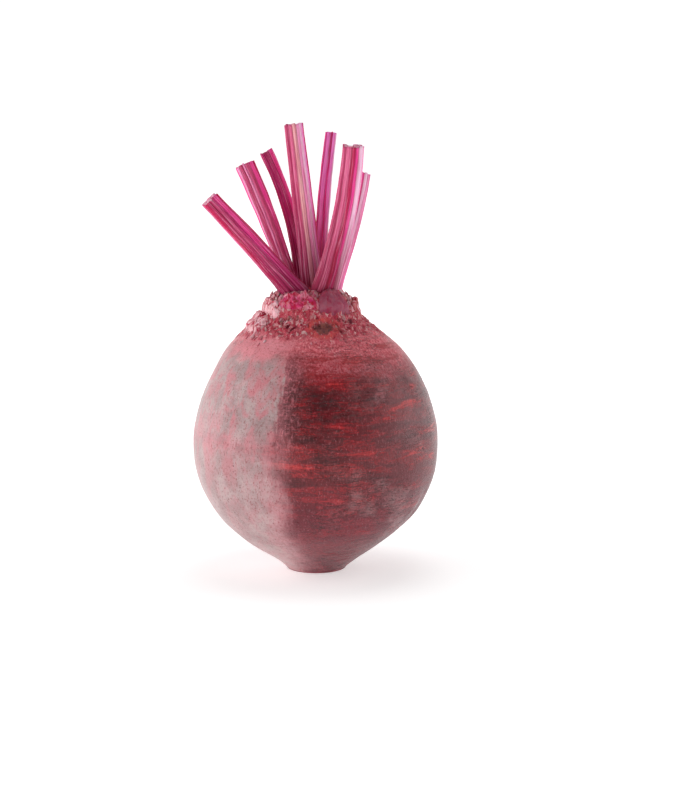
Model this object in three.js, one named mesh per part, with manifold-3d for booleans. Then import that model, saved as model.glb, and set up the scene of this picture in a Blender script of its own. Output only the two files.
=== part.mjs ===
// A whole beetroot as pulled and trimmed: one swollen root, its seven cut leaf stalks, and the
// torn stubs of older leaves around the crown. It stands on the flat where the taproot was cut.
// Millimetres, +Z up, front towards -Y. The origin is the centre of the flat.
import * as THREE from "three";
import { mergeVertices } from "three/addons/utils/BufferGeometryUtils.js";
import Module from "manifold-3d";

// Root: two half ellipses meet at the equator, the lower one runs into the cut taproot.
const EQUATOR_RADIUS = 45.2;
const EQUATOR_HEIGHT = 45;
const SHOULDER_RISE = 53.5; // upper half axis, from the equator up
const BELLY_DROP = 41; // lower half axis, from the equator down
const TAPROOT_CUT_RADIUS = 11;
const TAPROOT_STUB = 1.5; // how far the taproot rises straight from its cut
const TAPROOT_BLEND = 14; // length of the soft bend from the taproot into the belly
const TAPROOT_JOIN = THREE.MathUtils.degToRad(50); // where the belly turns into the taproot
const CROWN_JOIN = THREE.MathUtils.degToRad(59); // where the shoulder turns into the crown
const CROWN_OUTLINE = [[19.6, 93.8], [16.8, 96.8], [15.7, 99.8], [14.1, 102.2], [11.4, 104], [6, 105.2]];
const CROWN_TOP = 105.6;
const CROWN_OFFSET = -2; // the crown sits a little to the left of the root's middle
const CROWN_OFFSET_START = 72; // height where the offset begins
const CROWN_OFFSET_END = 94; // height where it is complete
const LOBES = [{ count: 2, share: 0.007, turn: 0.4 }, { count: 3, share: 0.006, turn: 1.9 }];
const ROOT_SIDES = 60;
const TAPROOT_STEPS = 6;
const BELLY_STEPS = 7;
const SHOULDER_STEPS = 12;
const CROWN_STEPS = 12;

// Leaf stalks and leaf-base stubs share one section: rounded outside, hollowed inside.
const STALK_FOOT_HEIGHT = 100; // starts inside the crown, then the crown is cut away
const STALK_SIDES = 16;
const STALK_STEPS = 8;
const STUB_STEPS = 3;
const STALK_CURL = 0.1; // how far the edges turn inwards, as a share of the width
const STUB_CURL = 0.09;
const CHANNEL_DEPTH = 0.3; // depth of the hollow on the inner face, as a share of the thickness
const CUT_GAP = 0.3; // clearance between the crown and what grows out of it

// foot: [x, y] inside the crown, from the crown's middle; tip: [x, y, z] from the origin.
// bow: how far the middle stands off the straight line, along x. width: at the foot and the tip.
// facing: heading of the rounded side at the foot and at the tip, in degrees from +X.
const STALKS = [
  { name: "stalk_1", foot: [-2.3, -5.9], tip: [-37.7, -16, 138.6], bow: 1.2, width: [9.6, 6.8],
    thickness: 4.6, facing: [-108, -100] },
  { name: "stalk_2", foot: [-5.6, 2.6], tip: [-26.3, 9, 149.6], bow: 2, width: [10.4, 7.8],
    thickness: 4.4, facing: [-165, -105] },
  { name: "stalk_3", foot: [-3.2, 7.2], tip: [-18.6, 17, 153.8], bow: 6.5, width: [6.2, 5.2],
    thickness: 3.9, facing: [112, 125] },
  { name: "stalk_4", foot: [1.6, 0.2], tip: [-7.9, 2, 164.6], bow: 0, width: [8.4, 7.2],
    thickness: 4.3, facing: [-90, -85] },
  { name: "stalk_5", foot: [3.1, 7.3], tip: [5.6, 20, 160.8], bow: -1.7, width: [5.2, 4.3],
    thickness: 3.8, facing: [75, 85] },
  { name: "stalk_6", foot: [3.4, -6.2], tip: [13.9, -14, 157.6], bow: 4.2, width: [9.8, 8.3],
    thickness: 4.6, facing: [-72, -80] },
  { name: "stalk_7", foot: [7.2, 1.4], tip: [18.2, 9, 146.2], bow: 2.8, width: [6.6, 6],
    thickness: 4.2, facing: [4, 0] },
];

// heading: place around the crown in degrees from +X; radius: middle of the stub's thickness at
// its top; low and high: heights where it starts inside the crown and where it ends.
const STUBS = [
  { name: "leaf_base_1", heading: -156, radius: 15.4, low: 94, high: 101.4, width: 12 },
  { name: "leaf_base_2", heading: -166, radius: 20.4, low: 87, high: 96.3, width: 15 },
  { name: "leaf_base_3", heading: -108, radius: 13.6, low: 97, high: 103.6, width: 12 },
  { name: "leaf_base_4", heading: -54, radius: 15, low: 95.5, high: 104, width: 11 },
  { name: "leaf_base_5", heading: 2, radius: 16.4, low: 91, high: 100.6, width: 12.5 },
  { name: "leaf_base_6", heading: 64, radius: 16, low: 93, high: 101, width: 13.5 },
  { name: "leaf_base_7", heading: 128, radius: 15.6, low: 94, high: 101.8, width: 13.5 },
];
const STUB_THICKNESS = 4;
const STUB_LEAN = 1.2; // how far a stub's top stands out beyond its foot
const STUB_TAPER = 0.86; // width at the top as a share of the width at the foot

const rootSkin = new THREE.MeshStandardMaterial({ color: 0x8f4450, roughness: 0.55, metalness: 0 });
const stalkSkin = new THREE.MeshStandardMaterial({ color: 0xb93a72, roughness: 0.45, metalness: 0 });
const tornFlesh = new THREE.MeshStandardMaterial({ color: 0xc58790, roughness: 0.8, metalness: 0 });

const manifoldLibrary = await Module();
manifoldLibrary.setup();

/** A closed three.js geometry as a manifold solid. */
function toSolid(geometry) {
  const bare = geometry.clone();
  bare.deleteAttribute("normal");
  bare.deleteAttribute("uv");
  const merged = mergeVertices(bare);
  const vertProperties = new Float32Array(merged.attributes.position.array);
  const triVerts = new Uint32Array(merged.index.array);
  const mesh = new manifoldLibrary.Mesh({ numProp: 3, vertProperties, triVerts });
  return new manifoldLibrary.Manifold(mesh);
}

/** A manifold solid as a three.js geometry. */
function toGeometry(solid) {
  const mesh = solid.getMesh();
  const geometry = new THREE.BufferGeometry();
  geometry.setAttribute("position", new THREE.BufferAttribute(mesh.vertProperties, 3));
  geometry.setIndex(new THREE.BufferAttribute(mesh.triVerts, 1));
  geometry.computeVertexNormals();
  return geometry;
}

/** Half outline of the root from the middle of the flat up to the middle of the crown. */
function rootOutline() {
  const outline = new THREE.Path();
  outline.moveTo(0, 0);
  outline.lineTo(TAPROOT_CUT_RADIUS, 0);
  const belly = new THREE.EllipseCurve(
    0, EQUATOR_HEIGHT, EQUATOR_RADIUS, BELLY_DROP, -TAPROOT_JOIN, 0, false);
  const join = belly.getPoint(0);
  const beforeJoin = join.clone().addScaledVector(belly.getTangent(0), -TAPROOT_BLEND);
  outline.bezierCurveTo(
    TAPROOT_CUT_RADIUS, TAPROOT_STUB, beforeJoin.x, beforeJoin.y, join.x, join.y);
  const shoulder = new THREE.EllipseCurve(
    0, EQUATOR_HEIGHT, EQUATOR_RADIUS, SHOULDER_RISE, 0, CROWN_JOIN, false);
  const crownStart = shoulder.getPoint(1);
  const crown = new THREE.SplineCurve([
    crownStart,
    ...CROWN_OUTLINE.map(([radius, height]) => new THREE.Vector2(radius, height)),
    new THREE.Vector2(0, CROWN_TOP),
  ]);
  return [
    ...outline.getPoints(TAPROOT_STEPS),
    ...belly.getPoints(BELLY_STEPS).slice(1),
    ...shoulder.getPoints(SHOULDER_STEPS).slice(1),
    ...crown.getPoints(CROWN_STEPS).slice(1),
  ];
}

/** The same outline moved outwards and upwards by the clearance, to trim what grows out of it. */
function clearanceOutline() {
  return rootOutline().map(({ x, y }) => new THREE.Vector2(x > 0 ? x + CUT_GAP : 0, y + CUT_GAP));
}

/** The root: an outline turned about the upright axis, gently lobed, with the crown set over. */
function rootGeometry(outline) {
  const geometry = new THREE.LatheGeometry(outline, ROOT_SIDES);
  geometry.rotateX(Math.PI / 2);
  const position = geometry.attributes.position;
  for (let i = 0; i < position.count; i++) {
    const x = position.getX(i);
    const y = position.getY(i);
    const z = position.getZ(i);
    const heading = Math.atan2(y, x);
    const body = Math.sin(Math.PI * THREE.MathUtils.clamp(z / CROWN_TOP, 0, 1));
    const swell = LOBES.reduce(
      (sum, lobe) => sum + lobe.share * Math.cos(lobe.count * heading + lobe.turn), 0);
    const scale = 1 + body * swell;
    const over = CROWN_OFFSET * THREE.MathUtils.smoothstep(z, CROWN_OFFSET_START, CROWN_OFFSET_END);
    position.setXY(i, x * scale + over, y * scale);
  }
  return geometry;
}

/** One stalk or stub: a hollowed section carried along a curve, with square cut ends. */
function stalkGeometry({ curve, steps, width, thickness, curl, facing }) {
  const geometry = new THREE.CylinderGeometry(1, 1, 1, STALK_SIDES, steps);
  const position = geometry.attributes.position;
  const point = new THREE.Vector3();
  for (let i = 0; i < position.count; i++) {
    const across = position.getX(i);
    const along = THREE.MathUtils.clamp(position.getY(i) + 0.5, 0, 1);
    const through = position.getZ(i);
    const heading = THREE.MathUtils.degToRad(THREE.MathUtils.lerp(...facing, along));
    const tangent = curve.getTangent(along);
    const outward = new THREE.Vector3(Math.cos(heading), Math.sin(heading), 0);
    outward.addScaledVector(tangent, -outward.dot(tangent)).normalize();
    const side = new THREE.Vector3().crossVectors(tangent, outward);
    const localWidth = THREE.MathUtils.lerp(...width, along);
    const channel = through < 0 ? CHANNEL_DEPTH * thickness * through * through : 0;
    const depth = (thickness / 2) * through + channel - curl * localWidth * across * across;
    point.copy(curve.getPoint(along));
    point.addScaledVector(side, (localWidth / 2) * across).addScaledVector(outward, depth);
    position.setXYZ(i, point.x, point.y, point.z);
  }
  return geometry;
}

/** A leaf stalk, from inside the crown to its cut tip. */
function leafStalk({ foot, tip, bow, width, thickness, facing }) {
  const start = new THREE.Vector3(foot[0] + CROWN_OFFSET, foot[1], STALK_FOOT_HEIGHT);
  const end = new THREE.Vector3(...tip);
  const middle = start.clone().lerp(end, 0.5).add(new THREE.Vector3(bow, 0, 0));
  const curve = new THREE.QuadraticBezierCurve3(start, middle, end);
  return stalkGeometry({ curve, steps: STALK_STEPS, width, thickness, curl: STALK_CURL, facing });
}

/** The torn base of an older leaf, standing against the crown. */
function leafBase({ heading, radius, low, high, width }) {
  const angle = THREE.MathUtils.degToRad(heading);
  const at = (distance, height) => new THREE.Vector3(
    CROWN_OFFSET + distance * Math.cos(angle), distance * Math.sin(angle), height);
  return stalkGeometry({
    curve: new THREE.LineCurve3(at(radius - STUB_LEAN, low), at(radius, high)),
    steps: STUB_STEPS,
    width: [width, width * STUB_TAPER],
    thickness: STUB_THICKNESS,
    curl: STUB_CURL,
    facing: [heading, heading],
  });
}

const beetroot = new THREE.Group();

function addPiece(name, geometry, material) {
  const mesh = new THREE.Mesh(geometry, material);
  mesh.name = name;
  beetroot.add(mesh);
}

const crownClearance = toSolid(rootGeometry(clearanceOutline()));
const stalks = STALKS.map((stalk) => (
  { name: stalk.name, solid: toSolid(leafStalk(stalk)).subtract(crownClearance) }));
const stubs = STUBS.map((stub) => (
  { name: stub.name, solid: toSolid(leafBase(stub)).subtract(crownClearance) }));

addPiece("root", rootGeometry(rootOutline()), rootSkin);
stalks.forEach(({ name, solid }) => addPiece(name, toGeometry(solid), stalkSkin));
stubs.forEach(({ name, solid }) => addPiece(name, toGeometry(solid), tornFlesh));

export default beetroot;
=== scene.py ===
"""A whole beetroot with its cut leaf stalks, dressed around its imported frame.

The root, the leaf stalks and the torn leaf bases are remodelled in fine detail on the shapes of
their plain solids, which are measured by slicing them and by casting rays at them.
The model is in metres, +Z up, with the front towards -Y. The classes give their lengths in
millimetres, apart from those written with MM and those of the stage.
"""

import logging
import math
import random
from collections.abc import Sequence
from dataclasses import dataclass
from enum import Enum
from typing import NamedTuple

import bmesh
import bpy
import numpy as np
from mathutils import Matrix, Vector, noise
from mathutils.bvhtree import BVHTree


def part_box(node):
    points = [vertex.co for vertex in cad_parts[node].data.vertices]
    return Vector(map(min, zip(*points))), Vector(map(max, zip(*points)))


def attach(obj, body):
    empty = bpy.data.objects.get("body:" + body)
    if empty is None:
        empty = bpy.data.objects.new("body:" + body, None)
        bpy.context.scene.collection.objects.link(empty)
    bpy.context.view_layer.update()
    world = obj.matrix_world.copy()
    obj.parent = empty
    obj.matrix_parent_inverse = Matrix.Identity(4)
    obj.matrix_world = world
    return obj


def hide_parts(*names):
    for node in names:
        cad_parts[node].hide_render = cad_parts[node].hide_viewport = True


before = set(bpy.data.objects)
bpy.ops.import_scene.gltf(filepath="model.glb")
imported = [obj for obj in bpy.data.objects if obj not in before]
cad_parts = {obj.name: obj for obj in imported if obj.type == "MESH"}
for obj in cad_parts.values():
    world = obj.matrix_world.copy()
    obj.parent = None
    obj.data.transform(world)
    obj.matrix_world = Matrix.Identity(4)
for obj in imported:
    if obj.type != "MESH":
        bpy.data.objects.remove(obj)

LOG = logging.getLogger("beetroot")
MM = 0.001
BODY = "root"
WELD = 0.001 * MM
FULL_TURN = 2 * math.pi
FRONT = Vector((0, -1, 0))
UP = Vector((0, 0, 1))

Colour = tuple[float, float, float, float]
Triple = tuple[float, float, float]
Stops = tuple[tuple[float, Colour], ...]
Socket = bpy.types.NodeSocket


# ---------------------------------------------------------------- small helpers


def tint(red: int, green: int, blue: int) -> Colour:
    """An 8-bit screen colour as the linear one that shaders take.

    Args:
        red: Red, 0 to 255.
        green: Green, 0 to 255.
        blue: Blue, 0 to 255.

    Returns:
        The linear colour, opaque.
    """

    def linear(value: int) -> float:
        """One channel, by the sRGB curve."""
        share = value / 255
        return share / 12.92 if share <= 0.04045 else ((share + 0.055) / 1.055) ** 2.4

    return (linear(red), linear(green), linear(blue), 1.0)


def blend(first: Colour, second: Colour, share: float) -> Colour:
    """Mixes two colours.

    Args:
        first: The colour at share 0.
        second: The colour at share 1.
        share: How much of the second.

    Returns:
        The mixed colour.
    """
    return tuple(a + (b - a) * share for a, b in zip(first, second, strict=True))


def ease(low: float, high: float, value: float) -> float:
    """A soft step from 0 at low to 1 at high.

    Args:
        low: Where the step starts.
        high: Where the step ends; below low, the step falls.
        value: The value to place on the step.

    Returns:
        The step's height there.
    """
    share = min(1.0, max(0.0, (value - low) / (high - low)))
    return share * share * (3 - 2 * share)


def bell(distance: float, width: float) -> float:
    """A smooth hump, 1 at distance 0, that dies out over about twice the width."""
    return math.exp(-((distance / width) ** 2))


def turn_between(heading: float, middle: float) -> float:
    """The angle from a middle heading to a heading, from minus half a turn to half a turn."""
    return (heading - middle + math.pi) % FULL_TURN - math.pi


class Wave(NamedTuple):
    """Noise in a shape: how high it stands and how long its waves are, in millimetres."""

    height: float
    length: float

    def at(self, point: Vector) -> float:
        """The wave's height at a place in millimetres."""
        return self.height * noise.noise(point / self.length)


def link_object(name: str, mesh: bmesh.types.BMesh) -> bpy.types.Object:
    """Turns a finished bmesh into a smooth-shaded object at the origin.

    Args:
        name: The piece's name.
        mesh: Its geometry, which is freed.

    Returns:
        The new object.
    """
    data = bpy.data.meshes.new(name)
    mesh.to_mesh(data)
    mesh.free()
    data.shade_smooth()
    piece = bpy.data.objects.new(name, data)
    bpy.context.scene.collection.objects.link(piece)
    return piece


class Stored(Enum):
    """What can be stored per vertex: the attribute's type and the field that holds it."""

    NUMBER = ("FLOAT", "value")
    COLOUR = ("FLOAT_COLOR", "color")
    VECTOR = ("FLOAT_VECTOR", "vector")


def store(piece: bpy.types.Object, name: str, kind: Stored,
          values: Sequence[float] | Sequence[tuple[float, ...]]) -> None:
    """Stores a number, colour or vector per vertex for the material to read.

    Args:
        piece: The object.
        name: The attribute's name.
        kind: What is stored.
        values: One value per vertex, in vertex order.
    """
    type_name, field_name = kind.value
    layer = piece.data.attributes.new(name, type_name, "POINT")
    layer.data.foreach_set(field_name, np.array(values, np.float32).ravel())


def finish_piece(piece: bpy.types.Object, material: bpy.types.Material) -> None:
    """Gives a piece its material and fixes it to the frame.

    Args:
        piece: The object.
        material: Its finish.
    """
    piece.data.materials.append(material)
    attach(piece, BODY)
    LOG.info("%s: %d faces", piece.name, len(piece.data.polygons))


# ---------------------------------------------------------------- measuring the frame


class Solid:
    """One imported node, as a shape to measure."""

    def __init__(self, node: str) -> None:
        """Welds a copy of the node's triangles and readies it for ray casting.

        Args:
            node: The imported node's name.
        """
        self.mesh = bmesh.new()
        self.mesh.from_mesh(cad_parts[node].data)
        bmesh.ops.remove_doubles(self.mesh, verts=self.mesh.verts, dist=WELD)
        self.tree = BVHTree.FromBMesh(self.mesh)
        self.low, self.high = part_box(node)
        self.points = np.array([v.co for v in self.mesh.verts], float)

    def reach(self, origin: Vector, direction: Vector) -> float | None:
        """How far the surface is from a point.

        Args:
            origin: A point inside the solid.
            direction: The way to look.

        Returns:
            The distance, or None where nothing is met.
        """
        return self.tree.ray_cast(origin, direction)[3]

    def slice_middle(self, point: Vector, normal: Vector) -> Vector | None:
        """The middle of the cut that a plane makes.

        Args:
            point: A point on the plane.
            normal: The plane's normal.

        Returns:
            The cut outline's middle, or None if the plane misses.
        """
        copy = self.mesh.copy()
        geometry = copy.verts[:] + copy.edges[:] + copy.faces[:]
        cut = bmesh.ops.bisect_plane(copy, geom=geometry, plane_co=point, plane_no=normal)
        edges = [e for e in cut["geom_cut"] if isinstance(e, bmesh.types.BMEdge)]
        total = sum(e.calc_length() for e in edges)
        if total == 0:
            copy.free()
            return None
        middle = Vector()
        for edge in edges:
            middle += (edge.verts[0].co + edge.verts[1].co) / 2 * edge.calc_length()
        copy.free()
        return middle / total

    def free(self) -> None:
        """Lets the welded copy go."""
        self.mesh.free()


class Crown:
    """The top of the root, measured from its own upright middle line."""

    CUT_DEPTH = 5 * MM

    def __init__(self) -> None:
        """Finds the crown's middle line from a level cut near its top."""
        self.solid = Solid(BODY)
        level = Vector((0, 0, self.solid.high.z - self.CUT_DEPTH))
        self.middle = self.solid.slice_middle(level, UP) or level
        self.top = self.solid.high.z / MM

    def reach(self, heading: float, height: float) -> float:
        """How far the surface is from the middle line.

        Args:
            heading: The direction in radians from +X.
            height: The height in millimetres.

        Returns:
            The distance in millimetres, 0 above the crown.
        """
        level = Vector((self.middle.x, self.middle.y, height * MM))
        outward = Vector((math.cos(heading), math.sin(heading), 0))
        return (self.solid.reach(level, outward) or 0.0) / MM

    def place(self, heading: float, reach: float, height: float) -> Vector:
        """A point from its heading, its distance from the middle line and its height.

        Args:
            heading: The direction in radians from +X.
            reach: The distance in millimetres.
            height: The height in millimetres.

        Returns:
            The point in metres.
        """
        return Vector((self.middle.x + reach * MM * math.cos(heading),
                       self.middle.y + reach * MM * math.sin(heading), height * MM))


# ---------------------------------------------------------------- finishes


@dataclass(frozen=True)
class Pattern:
    """Cloudy noise, about 0.25 to 0.75. Its scale times its stretch is in waves per millimetre."""

    scale: float = 1.0
    detail: float = 4.0
    rough: float = 0.55
    warp: float = 0.0
    stretch: Triple = (1.0, 1.0, 1.0)
    shift: Triple = (0.0, 0.0, 0.0)


class Step(NamedTuple):
    """A soft step: where it starts and ends, and how high it is at its start and its end."""

    low: float
    high: float
    start: float = 0.0
    end: float = 1.0


class Sheet:
    """Short ways to lay out one material's nodes."""

    def __init__(self, name: str) -> None:
        """Starts an empty material.

        Args:
            name: The material's name.
        """
        self.material = bpy.data.materials.new(name)
        self.material.use_nodes = True
        self.tree = self.material.node_tree
        self.tree.nodes.clear()

    def add(self, kind: str, inputs: dict | None = None, **settings: object) -> bpy.types.Node:
        """Adds a node.

        Args:
            kind: The node's type name.
            inputs: Values or sockets, by input name or number.
            **settings: The node's own options.

        Returns:
            The node.
        """
        node = self.tree.nodes.new(kind)
        for key, value in settings.items():
            setattr(node, key, value)
        for key, value in (inputs or {}).items():
            if isinstance(value, Socket):
                self.tree.links.new(value, node.inputs[key])
            else:
                node.inputs[key].default_value = value
        return node

    def vector(self, operation: str, inputs: dict, output: int | str = 0) -> Socket:
        """One sum on vectors."""
        return self.add("ShaderNodeVectorMath", inputs, operation=operation).outputs[output]

    def place(self) -> Socket:
        """The surface point in millimetres, in the piece's own frame."""
        coordinates = self.add("ShaderNodeTexCoord").outputs["Object"]
        return self.stretch(coordinates, (1 / MM, 1 / MM, 1 / MM))

    def stretch(self, vector: Socket, scale: Triple, shift: Triple = (0, 0, 0)) -> Socket:
        """Scales and then shifts a vector."""
        node = self.add("ShaderNodeMapping", {"Vector": vector, "Scale": scale, "Location": shift})
        return node.outputs["Vector"]

    def attribute(self, name: str, output: str = "Fac") -> Socket:
        """A stored per-vertex value or colour."""
        node = self.add("ShaderNodeAttribute", attribute_name=name, attribute_type="GEOMETRY")
        return node.outputs[output]

    def axes(self, vector: Socket) -> tuple[Socket, Socket, Socket]:
        """A vector's three parts."""
        node = self.add("ShaderNodeSeparateXYZ", {0: vector})
        return node.outputs[0], node.outputs[1], node.outputs[2]

    def join(self, x: Socket | float, y: Socket | float, z: Socket | float) -> Socket:
        """Three parts as a vector."""
        return self.add("ShaderNodeCombineXYZ", {0: x, 1: y, 2: z}).outputs[0]

    def along(self, vector: Socket, direction: Triple) -> Socket:
        """How far a vector reaches along a direction."""
        return self.vector("DOT_PRODUCT", {0: vector, 1: direction}, "Value")

    def calc(self, operation: str, *values: Socket | float) -> Socket:
        """One sum on numbers."""
        return self.add("ShaderNodeMath", dict(enumerate(values)), operation=operation).outputs[0]

    def times(self, *values: Socket | float) -> Socket:
        """The product of some numbers.

        Args:
            *values: The numbers.

        Returns:
            Their product.
        """
        product = values[0]
        for value in values[1:]:
            product = self.calc("MULTIPLY", product, value)
        return product

    def swing(self, value: Socket, width: float, base: Socket | float = 0.0) -> Socket:
        """A noise, spread to a width each side of a base.

        Args:
            value: The noise, about 0.5.
            width: How much its whole range, 0 to 1, is spread to.
            base: What it swings about.

        Returns:
            The base and the swing together.
        """
        centred = self.calc("MULTIPLY_ADD", value, width, -width / 2)
        return self.calc("ADD", base, centred)

    def noise(self, vector: Socket, pattern: Pattern) -> Socket:
        """A pattern's noise.

        Args:
            vector: Where it is looked up.
            pattern: The pattern.

        Returns:
            The noise.
        """
        node = self.add("ShaderNodeTexNoise", {
            "Vector": self.stretch(vector, pattern.stretch, pattern.shift),
            "Scale": pattern.scale, "Detail": pattern.detail, "Roughness": pattern.rough,
            "Distortion": pattern.warp})
        return node.outputs["Fac"]

    def fibres(self, place: Socket, pattern: Pattern) -> Socket:
        """Noise in upright fibres round the middle line.

        Args:
            place: The surface point in millimetres.
            pattern: The pattern, whose first two stretches count waves per radian.

        Returns:
            The noise.
        """
        x, y, z = self.axes(place)
        heading = self.vector("NORMALIZE", {0: self.join(x, y, 0.0)})
        flat_x, flat_y, _ = self.axes(heading)
        return self.noise(self.join(flat_x, flat_y, z), pattern)

    def cells(self, vector: Socket, scale: float) -> tuple[Socket, Socket]:
        """Voronoi cells: the distance from each cell's middle, and each cell's random colour."""
        node = self.add("ShaderNodeTexVoronoi", {"Vector": vector, "Scale": scale})
        return node.outputs["Distance"], node.outputs["Color"]

    def gaps(self, vector: Socket, scale: float) -> Socket:
        """The distance to the nearest gap between Voronoi cells."""
        return self.add("ShaderNodeTexVoronoi", {"Vector": vector, "Scale": scale},
                        feature="DISTANCE_TO_EDGE").outputs["Distance"]

    def warped(self, vector: Socket, scale: float, amount: float) -> Socket:
        """A vector pushed about by noise.

        Args:
            vector: The vector, in millimetres.
            scale: The noise's waves per millimetre.
            amount: How far its whole range pushes, in millimetres.

        Returns:
            The pushed vector.
        """
        push = self.add("ShaderNodeTexNoise", {"Vector": vector, "Scale": scale, "Detail": 3.0})
        centred = self.vector("SUBTRACT", {0: push.outputs["Color"], 1: (0.5, 0.5, 0.5)})
        return self.vector("MULTIPLY_ADD", {0: centred, 1: (amount,) * 3, 2: vector})

    def step(self, value: Socket, step: Step) -> Socket:
        """A soft step's height at a value.

        Args:
            value: The value.
            step: The step.

        Returns:
            The height.
        """
        node = self.add("ShaderNodeMapRange", {
            "Value": value, "From Min": step.low, "From Max": step.high, "To Min": step.start,
            "To Max": step.end}, interpolation_type="SMOOTHSTEP")
        return node.outputs["Result"]

    def ramp(self, value: Socket, stops: Stops) -> Socket:
        """A colour ramp.

        Args:
            value: What moves along it.
            stops: Its places and their colours, in order.

        Returns:
            The colour.
        """
        node = self.add("ShaderNodeValToRGB", {"Fac": value})
        elements = node.color_ramp.elements
        while len(elements) < len(stops):
            elements.new(1.0)
        for element, (position, colour) in zip(elements, stops, strict=True):
            element.position = position
            element.color = colour
        return node.outputs["Color"]

    def mix(self, share: Socket | float, first: Socket | Colour, second: Socket | Colour,
            how: str = "MIX") -> Socket:
        """Mixes two colours.

        Args:
            share: How much of the second.
            first: The colour at share 0.
            second: The colour at share 1.
            how: The way of mixing.

        Returns:
            The mixed colour.
        """
        node = self.add("ShaderNodeMix", {"Factor": share, 6: first, 7: second},
                        data_type="RGBA", blend_type=how)
        return node.outputs[2]

    def tinted(self, colour: Socket | Colour, value: Socket, step: Step,
               second: Socket | Colour) -> Socket:
        """Mixes in a second colour by a soft step."""
        return self.mix(self.step(value, step), colour, second)

    def bump(self, height: Socket, distance: float, strength: float,
             below: Socket | None = None) -> Socket:
        """Tilts the surface by a height.

        Args:
            height: The height, 0 to 1.
            distance: What a height of 1 stands for, in millimetres.
            strength: How strongly it tilts.
            below: A bump that this one lies on.

        Returns:
            The tilted normal.
        """
        inputs = {"Height": height, "Distance": distance * MM, "Strength": strength}
        if below is not None:
            inputs["Normal"] = below
        return self.add("ShaderNodeBump", inputs).outputs["Normal"]

    def surface(self, inputs: dict) -> bpy.types.Material:
        """Ends the material in one Principled surface.

        Args:
            inputs: The surface's values or sockets, by input name.

        Returns:
            The material.
        """
        shader = self.add("ShaderNodeBsdfPrincipled", inputs)
        self.add("ShaderNodeOutputMaterial", {"Surface": shader.outputs[0]})
        return self.material


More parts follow.
